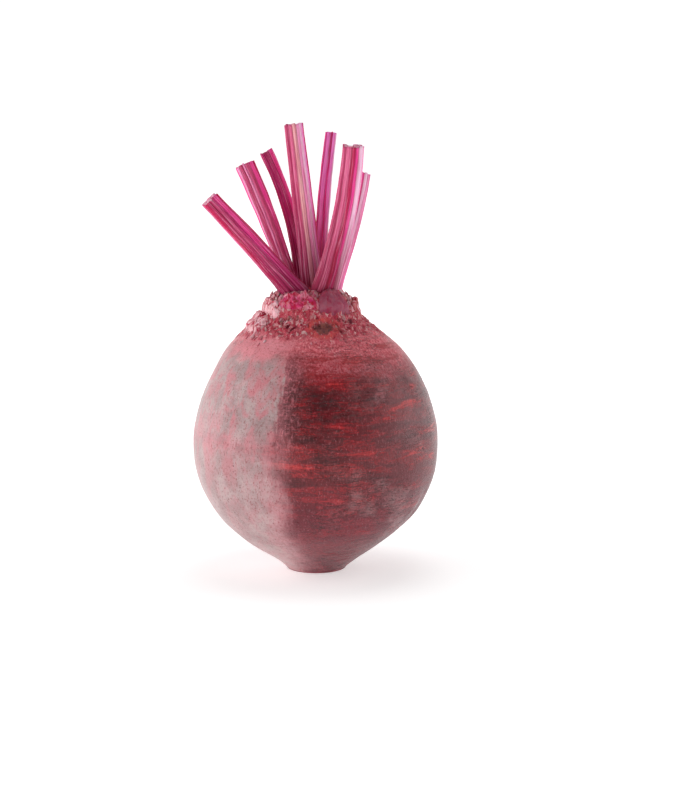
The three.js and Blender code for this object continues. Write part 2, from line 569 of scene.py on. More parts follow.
@dataclass(frozen=True)
class RootSkin:
    """Beetroot skin: wine red with orange-red scuffs, torn at the crown, with a pale dusting on the
    left side that also paints the left soft box's reflection.

    Heights and distances are in millimetres; directions are from the root's middle line.
    """

    deep: Colour = tint(78, 10, 19)
    wine: Colour = tint(112, 18, 28)
    brown: Colour = tint(108, 46, 54)
    brick: Colour = tint(178, 34, 42)
    scuff: Colour = tint(218, 64, 62)
    rose: Colour = tint(238, 126, 138)
    flush: Colour = tint(212, 66, 80)
    blush: Colour = tint(240, 156, 166)
    dust_and_reflection: Colour = tint(172, 142, 142)
    pale_dust_and_reflection: Colour = tint(190, 164, 164)
    stain: Colour = tint(208, 120, 130)
    crack: Colour = tint(58, 10, 18)
    pore: Colour = tint(206, 128, 138)
    belly: Colour = tint(112, 36, 52)

    crown_pale: Colour = tint(252, 216, 214)
    crown_rose: Colour = tint(234, 112, 130)
    crown_red: Colour = tint(200, 32, 64)
    crown_dark: Colour = tint(132, 12, 44)
    crown_brown: Colour = tint(184, 80, 84)
    scar: Colour = tint(150, 74, 66)
    scar_rim: Colour = tint(222, 74, 68)
    cut_pale: Colour = tint(214, 120, 138)
    cut_deep: Colour = tint(128, 14, 44)

    # The paled side faces the left soft box and the front; its pale dusting also paints that soft
    # box's reflection.
    dust_and_reflection_side: Triple = (-0.951, 0.309, 0.0)
    dust_and_reflection_back: Triple = (-0.643, -0.766, 0.0)
    dust_and_reflection_top: Step = Step(93.0, 86.0)
    dust_and_reflection_edge: Step = Step(-0.8, 1.2)
    dust_and_reflection_soft_edge: Step = Step(-7.0, 9.0)
    dust_and_reflection_fade: Step = Step(-14.0, 16.0)
    strip_start: Step = Step(-11.0, -3.0)
    strip_end: Step = Step(0.6, -0.6)
    belly_height: Step = Step(48.0, 20.0, 0.0, 0.6)
    shoulder_height: Step = Step(80.0, 94.0)
    brown_side: Step = Step(6.0, 34.0, 0.0, 0.6)

    mottle: Pattern = Pattern(0.11, 6, 0.6)
    layer: Pattern = Pattern(1.0, 5, 0.6, 0.0, (0.15, 0.15, 1.3), (3.1, 7.7, 1.3))
    fibre: Pattern = Pattern(1.0, 5, 0.65, 0.4, (46.0, 46.0, 0.16))
    streak: Pattern = Pattern(1.0, 7, 0.64, 0.45, (0.055, 0.055, 0.33))
    pores: Pattern = Pattern(1.0, 6, 0.78, 0.2, (1.3, 1.3, 0.55), (2, 8, 4))
    fleck: Pattern = Pattern(1.0, 6, 0.75, 0.3, (1.1, 1.1, 0.4))
    blotch: Pattern = Pattern(1.0, 7, 0.66, 0.6, (0.2, 0.2, 0.09), (5, 5, 5))
    film: Pattern = Pattern(0.06, 5, 0.6)
    crack_area: Pattern = Pattern(0.06, 3, 0.5)
    grain: Pattern = Pattern(1.0, 3, 0.75, 0.3, (1.5, 1.5, 0.9), (9, 2, 6))
    shreds: Pattern = Pattern(0.75, 6, 0.7, 1.0, (1.0, 1.0, 0.45))
    flake_stretch: Triple = (1.0, 1.0, 0.7)
    flake_shift: Triple = (4, 4, 4)
    flake_warp: tuple[float, float] = (1.2, 1.3)
    flake_scale: float = 0.95
    speck_scale: float = 0.42

    ring_wander: float = 2.0
    ring_waves: float = 2.4
    tone_shares: tuple[float, float] = (0.75, 0.25)
    shoulder_wander: float = 16.0
    top_wander: float = 14.0
    back_wander: float = 36.0
    edge_wander: tuple[float, float] = (5.0, 8.0)
    crack_strength: float = 0.8
    strip_strength: float = 0.8
    speck_strength: float = 0.7

    layer_bump: tuple[float, float] = (0.5, 0.22)
    pore_bump: tuple[float, float] = (0.5, 0.5)
    crack_bump: tuple[float, float] = (-0.4, 0.6)
    shred_bump: tuple[float, float] = (1.2, 0.8)
    least_rough: float = 0.2
    mottle_rough: float = 0.22
    crown_rough: float = 0.16

    skin_tones: Stops = (
        (0.38, deep), (0.45, wine), (0.5, wine), (0.515, brick), (0.545, wine), (0.59, brick),
        (0.68, scuff))
    crown_tones: Stops = (
        (0.37, crown_dark), (0.43, crown_red), (0.47, crown_rose), (0.52, crown_brown),
        (0.55, crown_red), (0.58, crown_rose), (0.64, crown_pale))

    pore_deep: Step = Step(0.47, 0.37, 0.0, 0.75)
    pore_rose: Step = Step(0.56, 0.68, 0.0, 0.3)
    brown_patches: Step = Step(0.52, 0.66, 0.0, 0.4)
    brown_off_scuffs: Step = Step(0.6, 0.52, 0.3, 1.0)

    shoulder_rose: Step = Step(0.42, 0.58)
    shoulder_wine: Step = Step(0.45, 0.34, 0.0, 0.8)
    shoulder_pale: Step = Step(0.58, 0.68, 0.0, 0.8)
    shoulder_brick: Step = Step(0.5, 0.56, 0.0, 0.75)
    shoulder_off_scuffs: Step = Step(0.6, 0.4, 0.6, 0.95)

    strip_height: Step = Step(44.0, 62.0)
    strip_flecks: Step = Step(0.46, 0.64)
    dust_and_reflection_light: Step = Step(0.4, 0.6)
    stain_patches: Step = Step(0.4, 0.66)
    stain_height: Step = Step(30.0, 66.0, 0.35, 0.9)
    speck_size: Step = Step(0.17, 0.09)
    speck_chance: Step = Step(0.7, 0.76)
    blush_start: Step = Step(-8.0, 7.0)
    blush_patches: Step = Step(0.3, 0.6, 0.35, 0.75)
    sharp_height: Step = Step(46.0, 60.0)
    soft_height: Step = Step(60.0, 46.0)
    film_patches: Step = Step(0.52, 0.68, 0.0, 0.3)
    film_height: Step = Step(88.0, 70.0)
    film_side: Step = Step(-14.0, -30.0)

    grain_dark: Step = Step(0.47, 0.34, 0.0, 0.75)
    grain_pale: Step = Step(0.56, 0.7, 0.0, 0.2)
    crack_patches: Step = Step(0.48, 0.6)
    crack_side: Step = Step(1.0, -3.0, 0.1, 1.0)
    crack_width: Step = Step(0.02, 0.006)

    flake_pale: Step = Step(0.55, 1.0, 0.0, 0.7)
    flake_red: Step = Step(0.5, 1.0, 0.0, 0.7)
    flake_gap: Step = Step(0.12, 0.02, 0.0, 0.8)

    hollow_painted_shade: Step = Step(0.2, 0.8)
    rim_glow: Step = Step(0.42, 0.54, 0.3, 0.9)
    scar_brown: Step = Step(0.46, 0.6)
    ring_pale: Step = Step(-0.6, 0.8)

    def make(self) -> bpy.types.Material:
        """Builds the material.

        Returns:
            The material.
        """
        sheet = Sheet("root_skin")
        place = sheet.place()
        mottle = sheet.noise(place, self.mottle)
        layer = sheet.noise(place, self.layer)
        pores = sheet.noise(place, self.pores)
        colour = self.scuffed(sheet, place, mottle, pores)
        colour = self.dusted_and_reflected(sheet, place, colour, mottle)
        crack = self.cracks(sheet, place, layer)
        colour = sheet.mix(sheet.times(crack, self.crack_strength), colour, self.crack)
        colour = self.grained(sheet, place, colour)
        colour, shreds = self.torn(sheet, place, colour)
        colour = self.cut_face(sheet, place, colour, mottle)
        crown = sheet.attribute("crown")
        rough = sheet.calc("MULTIPLY_ADD", crown, self.crown_rough, self.least_rough)
        rough = sheet.calc("MULTIPLY_ADD", mottle, self.mottle_rough, rough)
        normal = sheet.bump(layer, *self.layer_bump)
        normal = sheet.bump(pores, *self.pore_bump, normal)
        normal = sheet.bump(crack, *self.crack_bump, normal)
        normal = sheet.bump(sheet.times(shreds, crown), *self.shred_bump, normal)
        return sheet.surface({
            "Base Color": colour, "Roughness": rough, "Normal": normal,
            "IOR": 1.46, "Specular IOR Level": 0.4, "Coat Weight": 0.12, "Coat Roughness": 0.22})

    def scuffed(self, sheet: Sheet, place: Socket, mottle: Socket, pores: Socket) -> Socket:
        """The clean skin: wine red, scuffed sideways, browner to the right, rosy above.

        Args:
            sheet: The material's nodes.
            place: The surface point.
            mottle: Broad noise.
            pores: Fine noise.

        Returns:
            The colour.
        """
        x, _, z = sheet.axes(place)
        streak = sheet.noise(place, self.streak)
        tone = sheet.calc("MULTIPLY_ADD", streak, self.tone_shares[0],
                          sheet.times(mottle, self.tone_shares[1]))
        colour = sheet.ramp(tone, self.skin_tones)
        colour = sheet.tinted(colour, pores, self.pore_deep, self.deep)
        colour = sheet.tinted(colour, pores, self.pore_rose, self.rose)
        haze = sheet.calc("MAXIMUM", sheet.step(x, self.brown_side),
                          sheet.step(mottle, self.brown_patches))
        haze = sheet.times(haze, sheet.step(tone, self.brown_off_scuffs))
        colour = sheet.mix(haze, colour, self.brown)
        colour = sheet.tinted(colour, z, self.belly_height, self.belly)
        above = sheet.calc("MULTIPLY_ADD", mottle, self.shoulder_wander, z)
        above = sheet.step(above, self.shoulder_height)
        rosy = sheet.tinted(self.flush, pores, self.shoulder_rose, self.rose)
        rosy = sheet.tinted(rosy, pores, self.shoulder_wine, self.wine)
        rosy = sheet.tinted(rosy, pores, self.shoulder_pale, self.crown_pale)
        rosy = sheet.tinted(rosy, tone, self.shoulder_brick, self.brick)
        above = sheet.times(above, sheet.step(tone, self.shoulder_off_scuffs))
        return sheet.mix(above, colour, rosy)

    def dusted_and_reflected(self, sheet: Sheet, place: Socket, colour: Socket, mottle: Socket) -> Socket:
        """The left side's pale grey-pink dusting with pink stains, partly a painted reflection of
        the left soft box, and the dark strip where it ends.

        Args:
            sheet: The material's nodes.
            place: The surface point.
            colour: The clean skin's colour.
            mottle: Broad noise.

        Returns:
            The colour with its dusting and painted reflection.
        """
        _, _, z = sheet.axes(place)
        ragged = sheet.swing(sheet.fibres(place, self.fibre), self.edge_wander[0])
        ragged = sheet.swing(mottle, self.edge_wander[1], ragged)
        side = sheet.calc("ADD", sheet.along(place, self.dust_and_reflection_side), ragged)
        back = sheet.swing(mottle, self.back_wander, sheet.along(place, self.dust_and_reflection_back))
        behind = sheet.step(back, self.dust_and_reflection_fade)
        below = sheet.calc("MULTIPLY_ADD", mottle, self.top_wander, z)
        below = sheet.step(below, self.dust_and_reflection_top)
        strip = sheet.times(sheet.step(side, self.strip_start), sheet.step(side, self.strip_end),
                            below, sheet.step(z, self.strip_height))
        flecks = sheet.tinted(self.deep, sheet.noise(place, self.fleck), self.strip_flecks,
                              self.stain)
        colour = sheet.mix(sheet.times(strip, self.strip_strength), colour, flecks)
        dust_and_reflection = sheet.tinted(self.dust_and_reflection, mottle, self.dust_and_reflection_light, self.pale_dust_and_reflection)
        stained = sheet.times(sheet.step(sheet.noise(place, self.blotch), self.stain_patches),
                              sheet.step(z, self.stain_height))
        dust_and_reflection = sheet.mix(stained, dust_and_reflection, self.stain)
        speck, chance = sheet.cells(place, self.speck_scale)
        speck = sheet.times(sheet.step(speck, self.speck_size),
                            sheet.step(sheet.axes(chance)[0], self.speck_chance))
        dust_and_reflection = sheet.mix(sheet.times(speck, self.speck_strength), dust_and_reflection, self.brown)
        # A pale blush on the same side adds to the painted reflection.
        pale = sheet.times(sheet.step(side, self.blush_start), behind,
                           sheet.step(mottle, self.blush_patches))
        colour = sheet.mix(pale, colour, self.blush)
        edge = sheet.calc(
            "MAXIMUM",
            sheet.times(sheet.step(side, self.dust_and_reflection_edge), sheet.step(z, self.sharp_height)),
            sheet.times(sheet.step(side, self.dust_and_reflection_soft_edge), sheet.step(z, self.soft_height)))
        # Painted reflection: the side facing the left soft box and the front is paled to grey pink,
        # partly real dusting and partly that soft box's reflection.
        dust_and_reflection_share = sheet.times(edge, behind, below)
        film = sheet.times(
            sheet.step(sheet.noise(place, self.film), self.film_patches),
            sheet.step(z, self.film_height), sheet.step(side, self.film_side))
        return sheet.mix(sheet.calc("MAXIMUM", dust_and_reflection_share, film), colour, dust_and_reflection)

    def grained(self, sheet: Sheet, place: Socket, colour: Socket) -> Socket:
        """Fine dark pores and pale specks over all the skin.

        Args:
            sheet: The material's nodes.
            place: The surface point.
            colour: The skin's colour.

        Returns:
            The colour with its grain.
        """
        grain = sheet.noise(place, self.grain)
        darker = sheet.mix(1.0, colour, self.pore, "MULTIPLY")
        colour = sheet.tinted(colour, grain, self.grain_dark, darker)
        return sheet.tinted(colour, grain, self.grain_pale, self.blush)

    def cracks(self, sheet: Sheet, place: Socket, layer: Socket) -> Socket:
        """Short dark cracks that run sideways, in patches.

        Args:
            sheet: The material's nodes.
            place: The surface point.
            layer: Noise in level layers.

        Returns:
            How much of a crack is there, 0 to 1.
        """
        line = sheet.calc("ABSOLUTE", sheet.calc("SUBTRACT", layer, 0.5))
        area = sheet.step(sheet.noise(place, self.crack_area), self.crack_patches)
        side = sheet.step(sheet.along(place, self.dust_and_reflection_side), self.crack_side)
        return sheet.times(sheet.step(line, self.crack_width), area, side)

    def torn(self, sheet: Sheet, place: Socket, colour: Socket) -> tuple[Socket, Socket]:
        """The torn crown with its leaf scars, darker where the crown sinks in as painted shade.

        Args:
            sheet: The material's nodes.
            place: The surface point.
            colour: The skin's colour.

        Returns:
            The colour with its crown, and the height of the crown's shreds.
        """
        shreds = sheet.noise(place, self.shreds)
        flesh = sheet.ramp(shreds, self.crown_tones)
        flaky = sheet.stretch(place, self.flake_stretch, self.flake_shift)
        flaky = sheet.warped(flaky, *self.flake_warp)
        pale, red, _ = sheet.axes(sheet.cells(flaky, self.flake_scale)[1])
        flesh = sheet.tinted(flesh, pale, self.flake_pale, self.crown_pale)
        flesh = sheet.tinted(flesh, red, self.flake_red, self.crown_red)
        gap = sheet.gaps(flaky, self.flake_scale)
        flesh = sheet.tinted(flesh, gap, self.flake_gap, self.crown_red)
        # Painted shade: darker where the crown's relief sinks in.
        flesh = sheet.tinted(flesh, sheet.attribute("hollow_shade"), self.hollow_painted_shade, self.crown_dark)
        colour = sheet.mix(sheet.attribute("crown"), colour, flesh)
        glow = sheet.times(sheet.attribute("rim"), sheet.step(shreds, self.rim_glow))
        colour = sheet.mix(glow, colour, self.scar_rim)
        inside = sheet.tinted(self.scar, shreds, self.scar_brown, self.brown)
        return sheet.mix(sheet.attribute("scar"), colour, inside), shreds

    def cut_face(self, sheet: Sheet, place: Socket, colour: Socket, mottle: Socket) -> Socket:
        """The trimmed taproot's ringed face.

        Args:
            sheet: The material's nodes.
            place: The surface point.
            colour: The skin's colour.
            mottle: Broad noise.

        Returns:
            The colour with its cut face.
        """
        x, y, _ = sheet.axes(place)
        radius = sheet.vector("LENGTH", {0: sheet.join(x, y, 0.0)}, "Value")
        wander = sheet.calc("MULTIPLY_ADD", mottle, self.ring_wander, radius)
        rings = sheet.calc("SINE", sheet.times(wander, self.ring_waves))
        face = sheet.tinted(self.cut_deep, rings, self.ring_pale, self.cut_pale)
        return sheet.mix(sheet.attribute("cut"), colour, face)


@dataclass(frozen=True)
class StalkSkin:
    """Ribbed leaf-stalk skin that takes its stripes from the ribs' stored colours, with painted
    shade along the grooves between ribs.
    """

    groove_shade: Colour = tint(116, 14, 56)
    flesh: Colour = tint(240, 176, 196)
    vein: Colour = tint(176, 40, 96)
    deeper: Colour = tint(196, 92, 140)
    lighter: Colour = tint(255, 196, 224)
    streak: Pattern = Pattern(1.0, 4, 0.6, 0.0, (1.1, 1.1, 0.03))
    hair: Pattern = Pattern(1.0, 4, 0.6, 0.0, (3.2, 3.2, 0.07), (7, 3, 1))
    vein_scale: float = 0.9
    light_share: float = 0.5
    streak_bump: tuple[float, float] = (0.3, 0.5)
    hair_bump: tuple[float, float] = (0.15, 0.5)
    streak_deeper: Step = Step(0.5, 0.6, 0.0, 0.6)
    hair_lighter: Step = Step(0.52, 0.64, 0.0, 0.6)
    hair_deeper: Step = Step(0.46, 0.36, 0.0, 0.5)
    groove_painted_shade: Step = Step(0.5, 0.1, 0.0, 0.8)
    vein_size: Step = Step(0.32, 0.16)
    roughness: Step = Step(0.3, 0.7, 0.34, 0.52)

    def make(self) -> bpy.types.Material:
        """Builds the material.

        Returns:
            The material.
        """
        sheet = Sheet("stalk_skin")
        along = sheet.attribute("grain", "Vector")
        streak = sheet.noise(along, self.streak)
        hair = sheet.noise(along, self.hair)
        colour = sheet.attribute("stripe", "Color")
        deeper = sheet.mix(1.0, colour, self.deeper, "MULTIPLY")
        colour = sheet.tinted(colour, streak, self.streak_deeper, deeper)
        lighter = sheet.mix(self.light_share, colour, self.lighter)
        colour = sheet.tinted(colour, hair, self.hair_lighter, lighter)
        colour = sheet.tinted(colour, hair, self.hair_deeper, deeper)
        # Painted shade: darker along the grooves between the ribs.
        colour = sheet.tinted(colour, sheet.attribute("rib"), self.groove_painted_shade, self.groove_shade)
        dots, _ = sheet.cells(sheet.place(), self.vein_scale)
        end = sheet.tinted(self.flesh, dots, self.vein_size, self.vein)
        colour = sheet.mix(sheet.attribute("cut"), colour, end)
        normal = sheet.bump(streak, *self.streak_bump)
        normal = sheet.bump(hair, *self.hair_bump, normal)
        return sheet.surface({
            "Base Color": colour, "Roughness": sheet.step(streak, self.roughness),
            "Normal": normal, "Subsurface Weight": 0.15,
            "Subsurface Radius": (0.003, 0.0008, 0.0014), "Subsurface Scale": 1.0, "IOR": 1.42,
            "Specular IOR Level": 0.2})


@dataclass(frozen=True)
class TornFlesh:
    """Torn leaf-base tissue: pale pink with crimson streaks that run up its fibres."""

    streak: Colour = tint(158, 18, 54)
    shade: Colour = tint(128, 24, 50)
    light: Colour = tint(255, 206, 214)
    notch: Colour = tint(186, 18, 62)
    fibre: Pattern = Pattern(1.0, 5, 0.65, 0.4, (17.0, 17.0, 0.24))
    blot: Pattern = Pattern(0.5, 5, 0.65, 0.8)
    grit: Pattern = Pattern(1.9, 5, 0.7)
    flake_stretch: Triple = (1.0, 1.0, 0.6)
    flake_warp: tuple[float, float] = (0.8, 1.6)
    flake_scale: float = 0.45
    band_strength: float = 0.5
    fibre_bump: tuple[float, float] = (0.5, 0.6)
    gap_bump: tuple[float, float] = (0.5, 0.6)
    grit_bump: tuple[float, float] = (0.3, 0.5)
    band_fibres: Step = Step(0.5, 0.6)
    band_blots: Step = Step(0.38, 0.56)
    facet_light: Step = Step(0.3, 0.9, 0.0, 0.6)
    facet_notch: Step = Step(0.26, 0.0, 0.0, 0.6)
    gap_width: Step = Step(0.13, 0.03)
    gap_blots: Step = Step(0.4, 0.54)
    blot_shade: Step = Step(0.4, 0.28, 0.0, 0.4)
    gap_lip: Step = Step(0.0, 0.2)
    roughness: Step = Step(0.3, 0.7, 0.4, 0.72)

    def make(self) -> bpy.types.Material:
        """Builds the material.

        Returns:
            The material.
        """
        sheet = Sheet("torn_flesh")
        place = sheet.place()
        fibres = sheet.fibres(place, self.fibre)
        blot = sheet.noise(place, self.blot)
        colour = sheet.attribute("tissue", "Color")
        bands = sheet.times(sheet.step(fibres, self.band_fibres),
                            sheet.step(blot, self.band_blots))
        colour = sheet.mix(sheet.times(bands, self.band_strength), colour, self.streak)
        flaky = sheet.warped(sheet.stretch(place, self.flake_stretch), *self.flake_warp)
        gap = sheet.gaps(flaky, self.flake_scale)
        facet = sheet.axes(sheet.cells(flaky, self.flake_scale)[1])[0]
        torn = sheet.attribute("torn")
        lit = sheet.times(sheet.step(facet, self.facet_light), torn)
        colour = sheet.mix(lit, colour, self.light)
        stained = sheet.times(sheet.step(facet, self.facet_notch), torn)
        colour = sheet.mix(stained, colour, self.notch)
        open_gap = sheet.times(sheet.step(gap, self.gap_width),
                               sheet.step(blot, self.gap_blots), torn)
        colour = sheet.mix(open_gap, colour, self.notch)
        colour = sheet.tinted(colour, blot, self.blot_shade, self.shade)
        normal = sheet.bump(fibres, *self.fibre_bump)
        lip = sheet.times(sheet.step(gap, self.gap_lip), torn)
        normal = sheet.bump(lip, *self.gap_bump, normal)
        normal = sheet.bump(sheet.noise(place, self.grit), *self.grit_bump, normal)
        return sheet.surface({
            "Base Color": colour, "Roughness": sheet.step(blot, self.roughness),
            "Normal": normal, "Subsurface Weight": 0.3,
            "Subsurface Radius": (0.003, 0.001, 0.0012), "Subsurface Scale": 1.0, "IOR": 1.42,
            "Specular IOR Level": 0.2})


# ---------------------------------------------------------------- the root


@dataclass(frozen=True)
class Scar:
    """A dark oval left by a fallen leaf. Angles in degrees from +X, sizes in millimetres."""

    heading: float
    height: float
    half_width: float
    half_height: float


@dataclass(frozen=True)
class Furrow:
    """A shallow groove down the belly where fine roots grew. Angles in degrees from +X."""

    heading: float
    top: float
    drift: float


@dataclass
class Root:
    """The swollen root with its rough crown above and its trimmed taproot below."""

    node: str = "root"
    sides: int = 376
    body_step: float = 0.8 * MM
    crown_step: float = 0.42 * MM
    crown_height: float = 89.0
    core_height: float = 45.0
    rays: int = 1600
    flat_guard: float = 3.0
    smooth_passes: int = 40
    crown_edge: tuple[Wave, Wave] = (Wave(2.6, 5.5), Wave(1.3, 1.9))
    crown_fade: tuple[float, float] = (-1.5, 3.0)
    swell: tuple[Wave, Wave] = (Wave(0.42, 21), Wave(0.16, 8))
    crease_depth: float = 0.16
    crease_width: float = 0.07
    crease_stretch: Triple = (0.07, 0.07, 0.75)
    crease_patch: float = 17
    crease_shift: Triple = (9, 4, 2)
    crease_fade: tuple[float, float] = (-0.15, 0.25)
    torn_height: float = 0.9
    torn_level: float = 0.35
    torn_upright: float = 0.4
    torn_fold: Wave = Wave(2.0, 2.6)
    torn_grain: tuple[Wave, Wave] = (Wave(0.5, 1.3), Wave(0.3, 0.8))
    torn_top: tuple[float, float] = (106.5, 101.0)
    torn_least: float = 0.4
    hollow_shade_depths: tuple[float, float] = (-0.1, -1.0)
    foot_calm: tuple[float, float] = (0.4, 4.0)
    cut_height: tuple[float, float] = (0.35, 0.05)
    scar_edge: Wave = Wave(0.25, 1.3)
    scar_fade: tuple[float, float] = (1.05, 0.7)
    scar_depth: float = 0.15
    rim_place: float = 1.3
    rim_width: float = 0.35
    rim_height: float = 0.1
    furrow_width: float = 2.6
    furrow_depth: float = 0.8
    furrow_foot: tuple[float, float] = (2.0, 9.0)
    furrow_pucker: Wave = Wave(0.35, 5)
    pucker_level: float = 4
    scars: tuple[Scar, ...] = (
        Scar(-81, 92.8, 3.9, 2.1), Scar(30, 90.0, 3.8, 1.8), Scar(98, 90.6, 4.2, 1.9),
        Scar(158, 90.0, 3.0, 1.5))
    furrows: tuple[Furrow, ...] = (Furrow(-24, 40, 14), Furrow(158, 44, -12))

    def outline(self, solid: Solid) -> list[Vector]:
        """Measures the half outline from the middle of the flat to the top of the crown.

        Args:
            solid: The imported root.

        Returns:
            Points in the XZ plane, close together on the crown and wider on the body.
        """
        core = Vector((0, 0, self.core_height * MM))
        trace = []
        for i in range(self.rays + 1):
            polar = math.pi * (1 - i / self.rays)
            direction = Vector((math.sin(polar), 0, math.cos(polar)))
            distance = solid.reach(core, direction)
            if distance is not None:
                trace.append(core + direction * distance)
        trace[0].x = trace[-1].x = 0
        picked = [trace[0]]
        for point in trace:
            step = self.crown_step if point.z > self.crown_height * MM else self.body_step
            if (point - picked[-1]).length >= step:
                picked.append(point)
        picked[-1] = trace[-1]
        return picked

    def spun(self, solid: Solid) -> bmesh.types.BMesh:
        """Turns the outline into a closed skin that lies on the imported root.

        Args:
            solid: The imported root.

        Returns:
            The fine, smooth mesh.
        """
        mesh = bmesh.new()
        verts = [mesh.verts.new(point) for point in self.outline(solid)]
        edges = [mesh.edges.new(pair) for pair in zip(verts, verts[1:], strict=False)]
        bmesh.ops.spin(mesh, geom=verts + edges, cent=(0, 0, 0), axis=UP, dvec=(0, 0, 0),
                       angle=FULL_TURN, steps=self.sides, use_merge=True, use_duplicate=False)
        bmesh.ops.remove_doubles(mesh, verts=mesh.verts, dist=WELD)
        core = Vector((0, 0, self.core_height * MM))
        for vert in mesh.verts:
            direction = (vert.co - core).normalized()
            distance = solid.reach(core, direction)
            if distance is not None:
                vert.co = core + direction * distance
        upper = [v for v in mesh.verts if v.co.z > self.flat_guard * MM]
        for _ in range(self.smooth_passes):
            bmesh.ops.smooth_vert(mesh, verts=upper, factor=0.5, use_axis_x=True,
                                  use_axis_y=True, use_axis_z=True)
        bmesh.ops.recalc_face_normals(mesh, faces=mesh.faces)
        mesh.normal_update()
        return mesh

    def crown_share(self, point: Vector) -> float:
        """How much a place, in millimetres, belongs to the torn crown, 0 to 1."""
        low, high = (self.crown_height + shift for shift in self.crown_fade)
        return ease(low, high, point.z + sum(wave.at(point) for wave in self.crown_edge))

    def scar_share(self, point: Vector) -> tuple[float, float]:
        """How deep a place lies in a leaf scar, and how high on its rim.

        Args:
            point: The place, in millimetres.

        Returns:
            The share inside a scar and the share on a rim, each 0 to 1.
        """
        inside, rim = 0.0, 0.0
        reach = math.hypot(point.x, point.y)
        heading = math.atan2(point.y, point.x)
        for scar in self.scars:
            turn = turn_between(heading, math.radians(scar.heading))
            oval = math.hypot(turn * reach / scar.half_width,
                              (point.z - scar.height) / scar.half_height)
            oval += self.scar_edge.at(point)
            inside = max(inside, ease(*self.scar_fade, oval))
            rim = max(rim, bell(oval - self.rim_place, self.rim_width))
        return inside, rim

    def furrowed(self, point: Vector) -> float:
        """How deep the belly's furrows are at a place.

        Args:
            point: The place, in millimetres.

        Returns:
            The depth, in millimetres.
        """
        depth = 0.0
        reach = math.hypot(point.x, point.y)
        heading = math.atan2(point.y, point.x)
        pucker = self.furrow_pucker.at(Vector((point.x, point.y, point.z * self.pucker_level)))
        for furrow in self.furrows:
            down = ease(furrow.top, furrow.top / 2, point.z) * ease(*self.furrow_foot, point.z)
            middle = math.radians(furrow.heading + furrow.drift * (1 - point.z / furrow.top))
            across = bell(turn_between(heading, middle) * reach, self.furrow_width)
            depth = max(depth, down * across * (self.furrow_depth + pucker))
        return depth

    def relief(self, point: Vector, crown: float) -> float:
        """How far the skin stands off the smooth body at a place.

        Args:
            point: The place, in millimetres.
            crown: How much it belongs to the crown.

        Returns:
            The height in millimetres, inwards if negative.
        """
        layer = Vector(a * b for a, b in zip(point, self.crease_stretch, strict=True))
        crease = -self.crease_depth * bell(noise.noise(layer), self.crease_width)
        patch = noise.noise(point / self.crease_patch + Vector(self.crease_shift))
        crease *= ease(*self.crease_fade, patch)
        smooth = sum(wave.at(point) for wave in self.swell) + crease
        upright = Vector((point.x, point.y, point.z * self.torn_upright))
        coarse, small = self.torn_grain
        torn = self.torn_height * (self.torn_level - abs(self.torn_fold.at(upright)))
        torn += coarse.at(upright) + small.at(point)
        torn *= self.torn_least + (1 - self.torn_least) * ease(*self.torn_top, point.z)
        inside, rim = self.scar_share(point)
        height = smooth * (1 - crown) + torn * crown
        height += self.rim_height * rim - self.scar_depth * inside - self.furrowed(point)
        return height * ease(*self.foot_calm, point.z)

    def build(self, material: bpy.types.Material) -> bpy.types.Object:
        """Builds and dresses the root.

        Args:
            material: The root's skin.

        Returns:
            The finished piece.
        """
        solid = Solid(self.node)
        mesh = self.spun(solid)
        solid.free()
        places = [(vert, vert.co / MM, vert.normal.copy()) for vert in mesh.verts]
        crowns, hollow_shades, scars, rims, cuts = [], [], [], [], []
        for vert, point, normal in places:
            crown = self.crown_share(point)
            height = self.relief(point, crown)
            crowns.append(crown)
            inside, rim = self.scar_share(point)
            # Painted shade: how far the crown's relief sinks in, stored for the skin to darken.
            hollow_shades.append(ease(*self.hollow_shade_depths, height) * (1 - inside) * crown)
            scars.append(inside)
            rims.append(rim)
            cuts.append(ease(*self.cut_height, point.z))
            vert.co += normal * height * MM
        piece = link_object("beet_root", mesh)
        for name, values in (("crown", crowns), ("hollow_shade", hollow_shades), ("scar", scars),
                             ("rim", rims), ("cut", cuts)):
            store(piece, name, Stored.NUMBER, values)
        finish_piece(piece, material)
        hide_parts(self.node)
        return piece


# ---------------------------------------------------------------- the leaf stalks


class Tone(Enum):
    """Colours of the ribs on a leaf stalk."""

    WINE = tint(150, 16, 60)
    PURPLE = tint(140, 12, 70)
    MAGENTA = tint(188, 36, 106)
    CRIMSON = tint(206, 38, 94)
    MAUVE = tint(210, 82, 128)
    DUSK = tint(190, 54, 104)
    ROSE = tint(232, 106, 150)
    HOT = tint(248, 72, 156)
    ORCHID = tint(255, 134, 212)
    BLUSH = tint(255, 158, 204)
    PEARL = tint(255, 204, 230)
    CREAM = tint(252, 186, 188)


@dataclass(frozen=True)
class Rib:
    """One long rib: its share of the stalk's visible width and its colour."""

    share: float
    tone: Tone


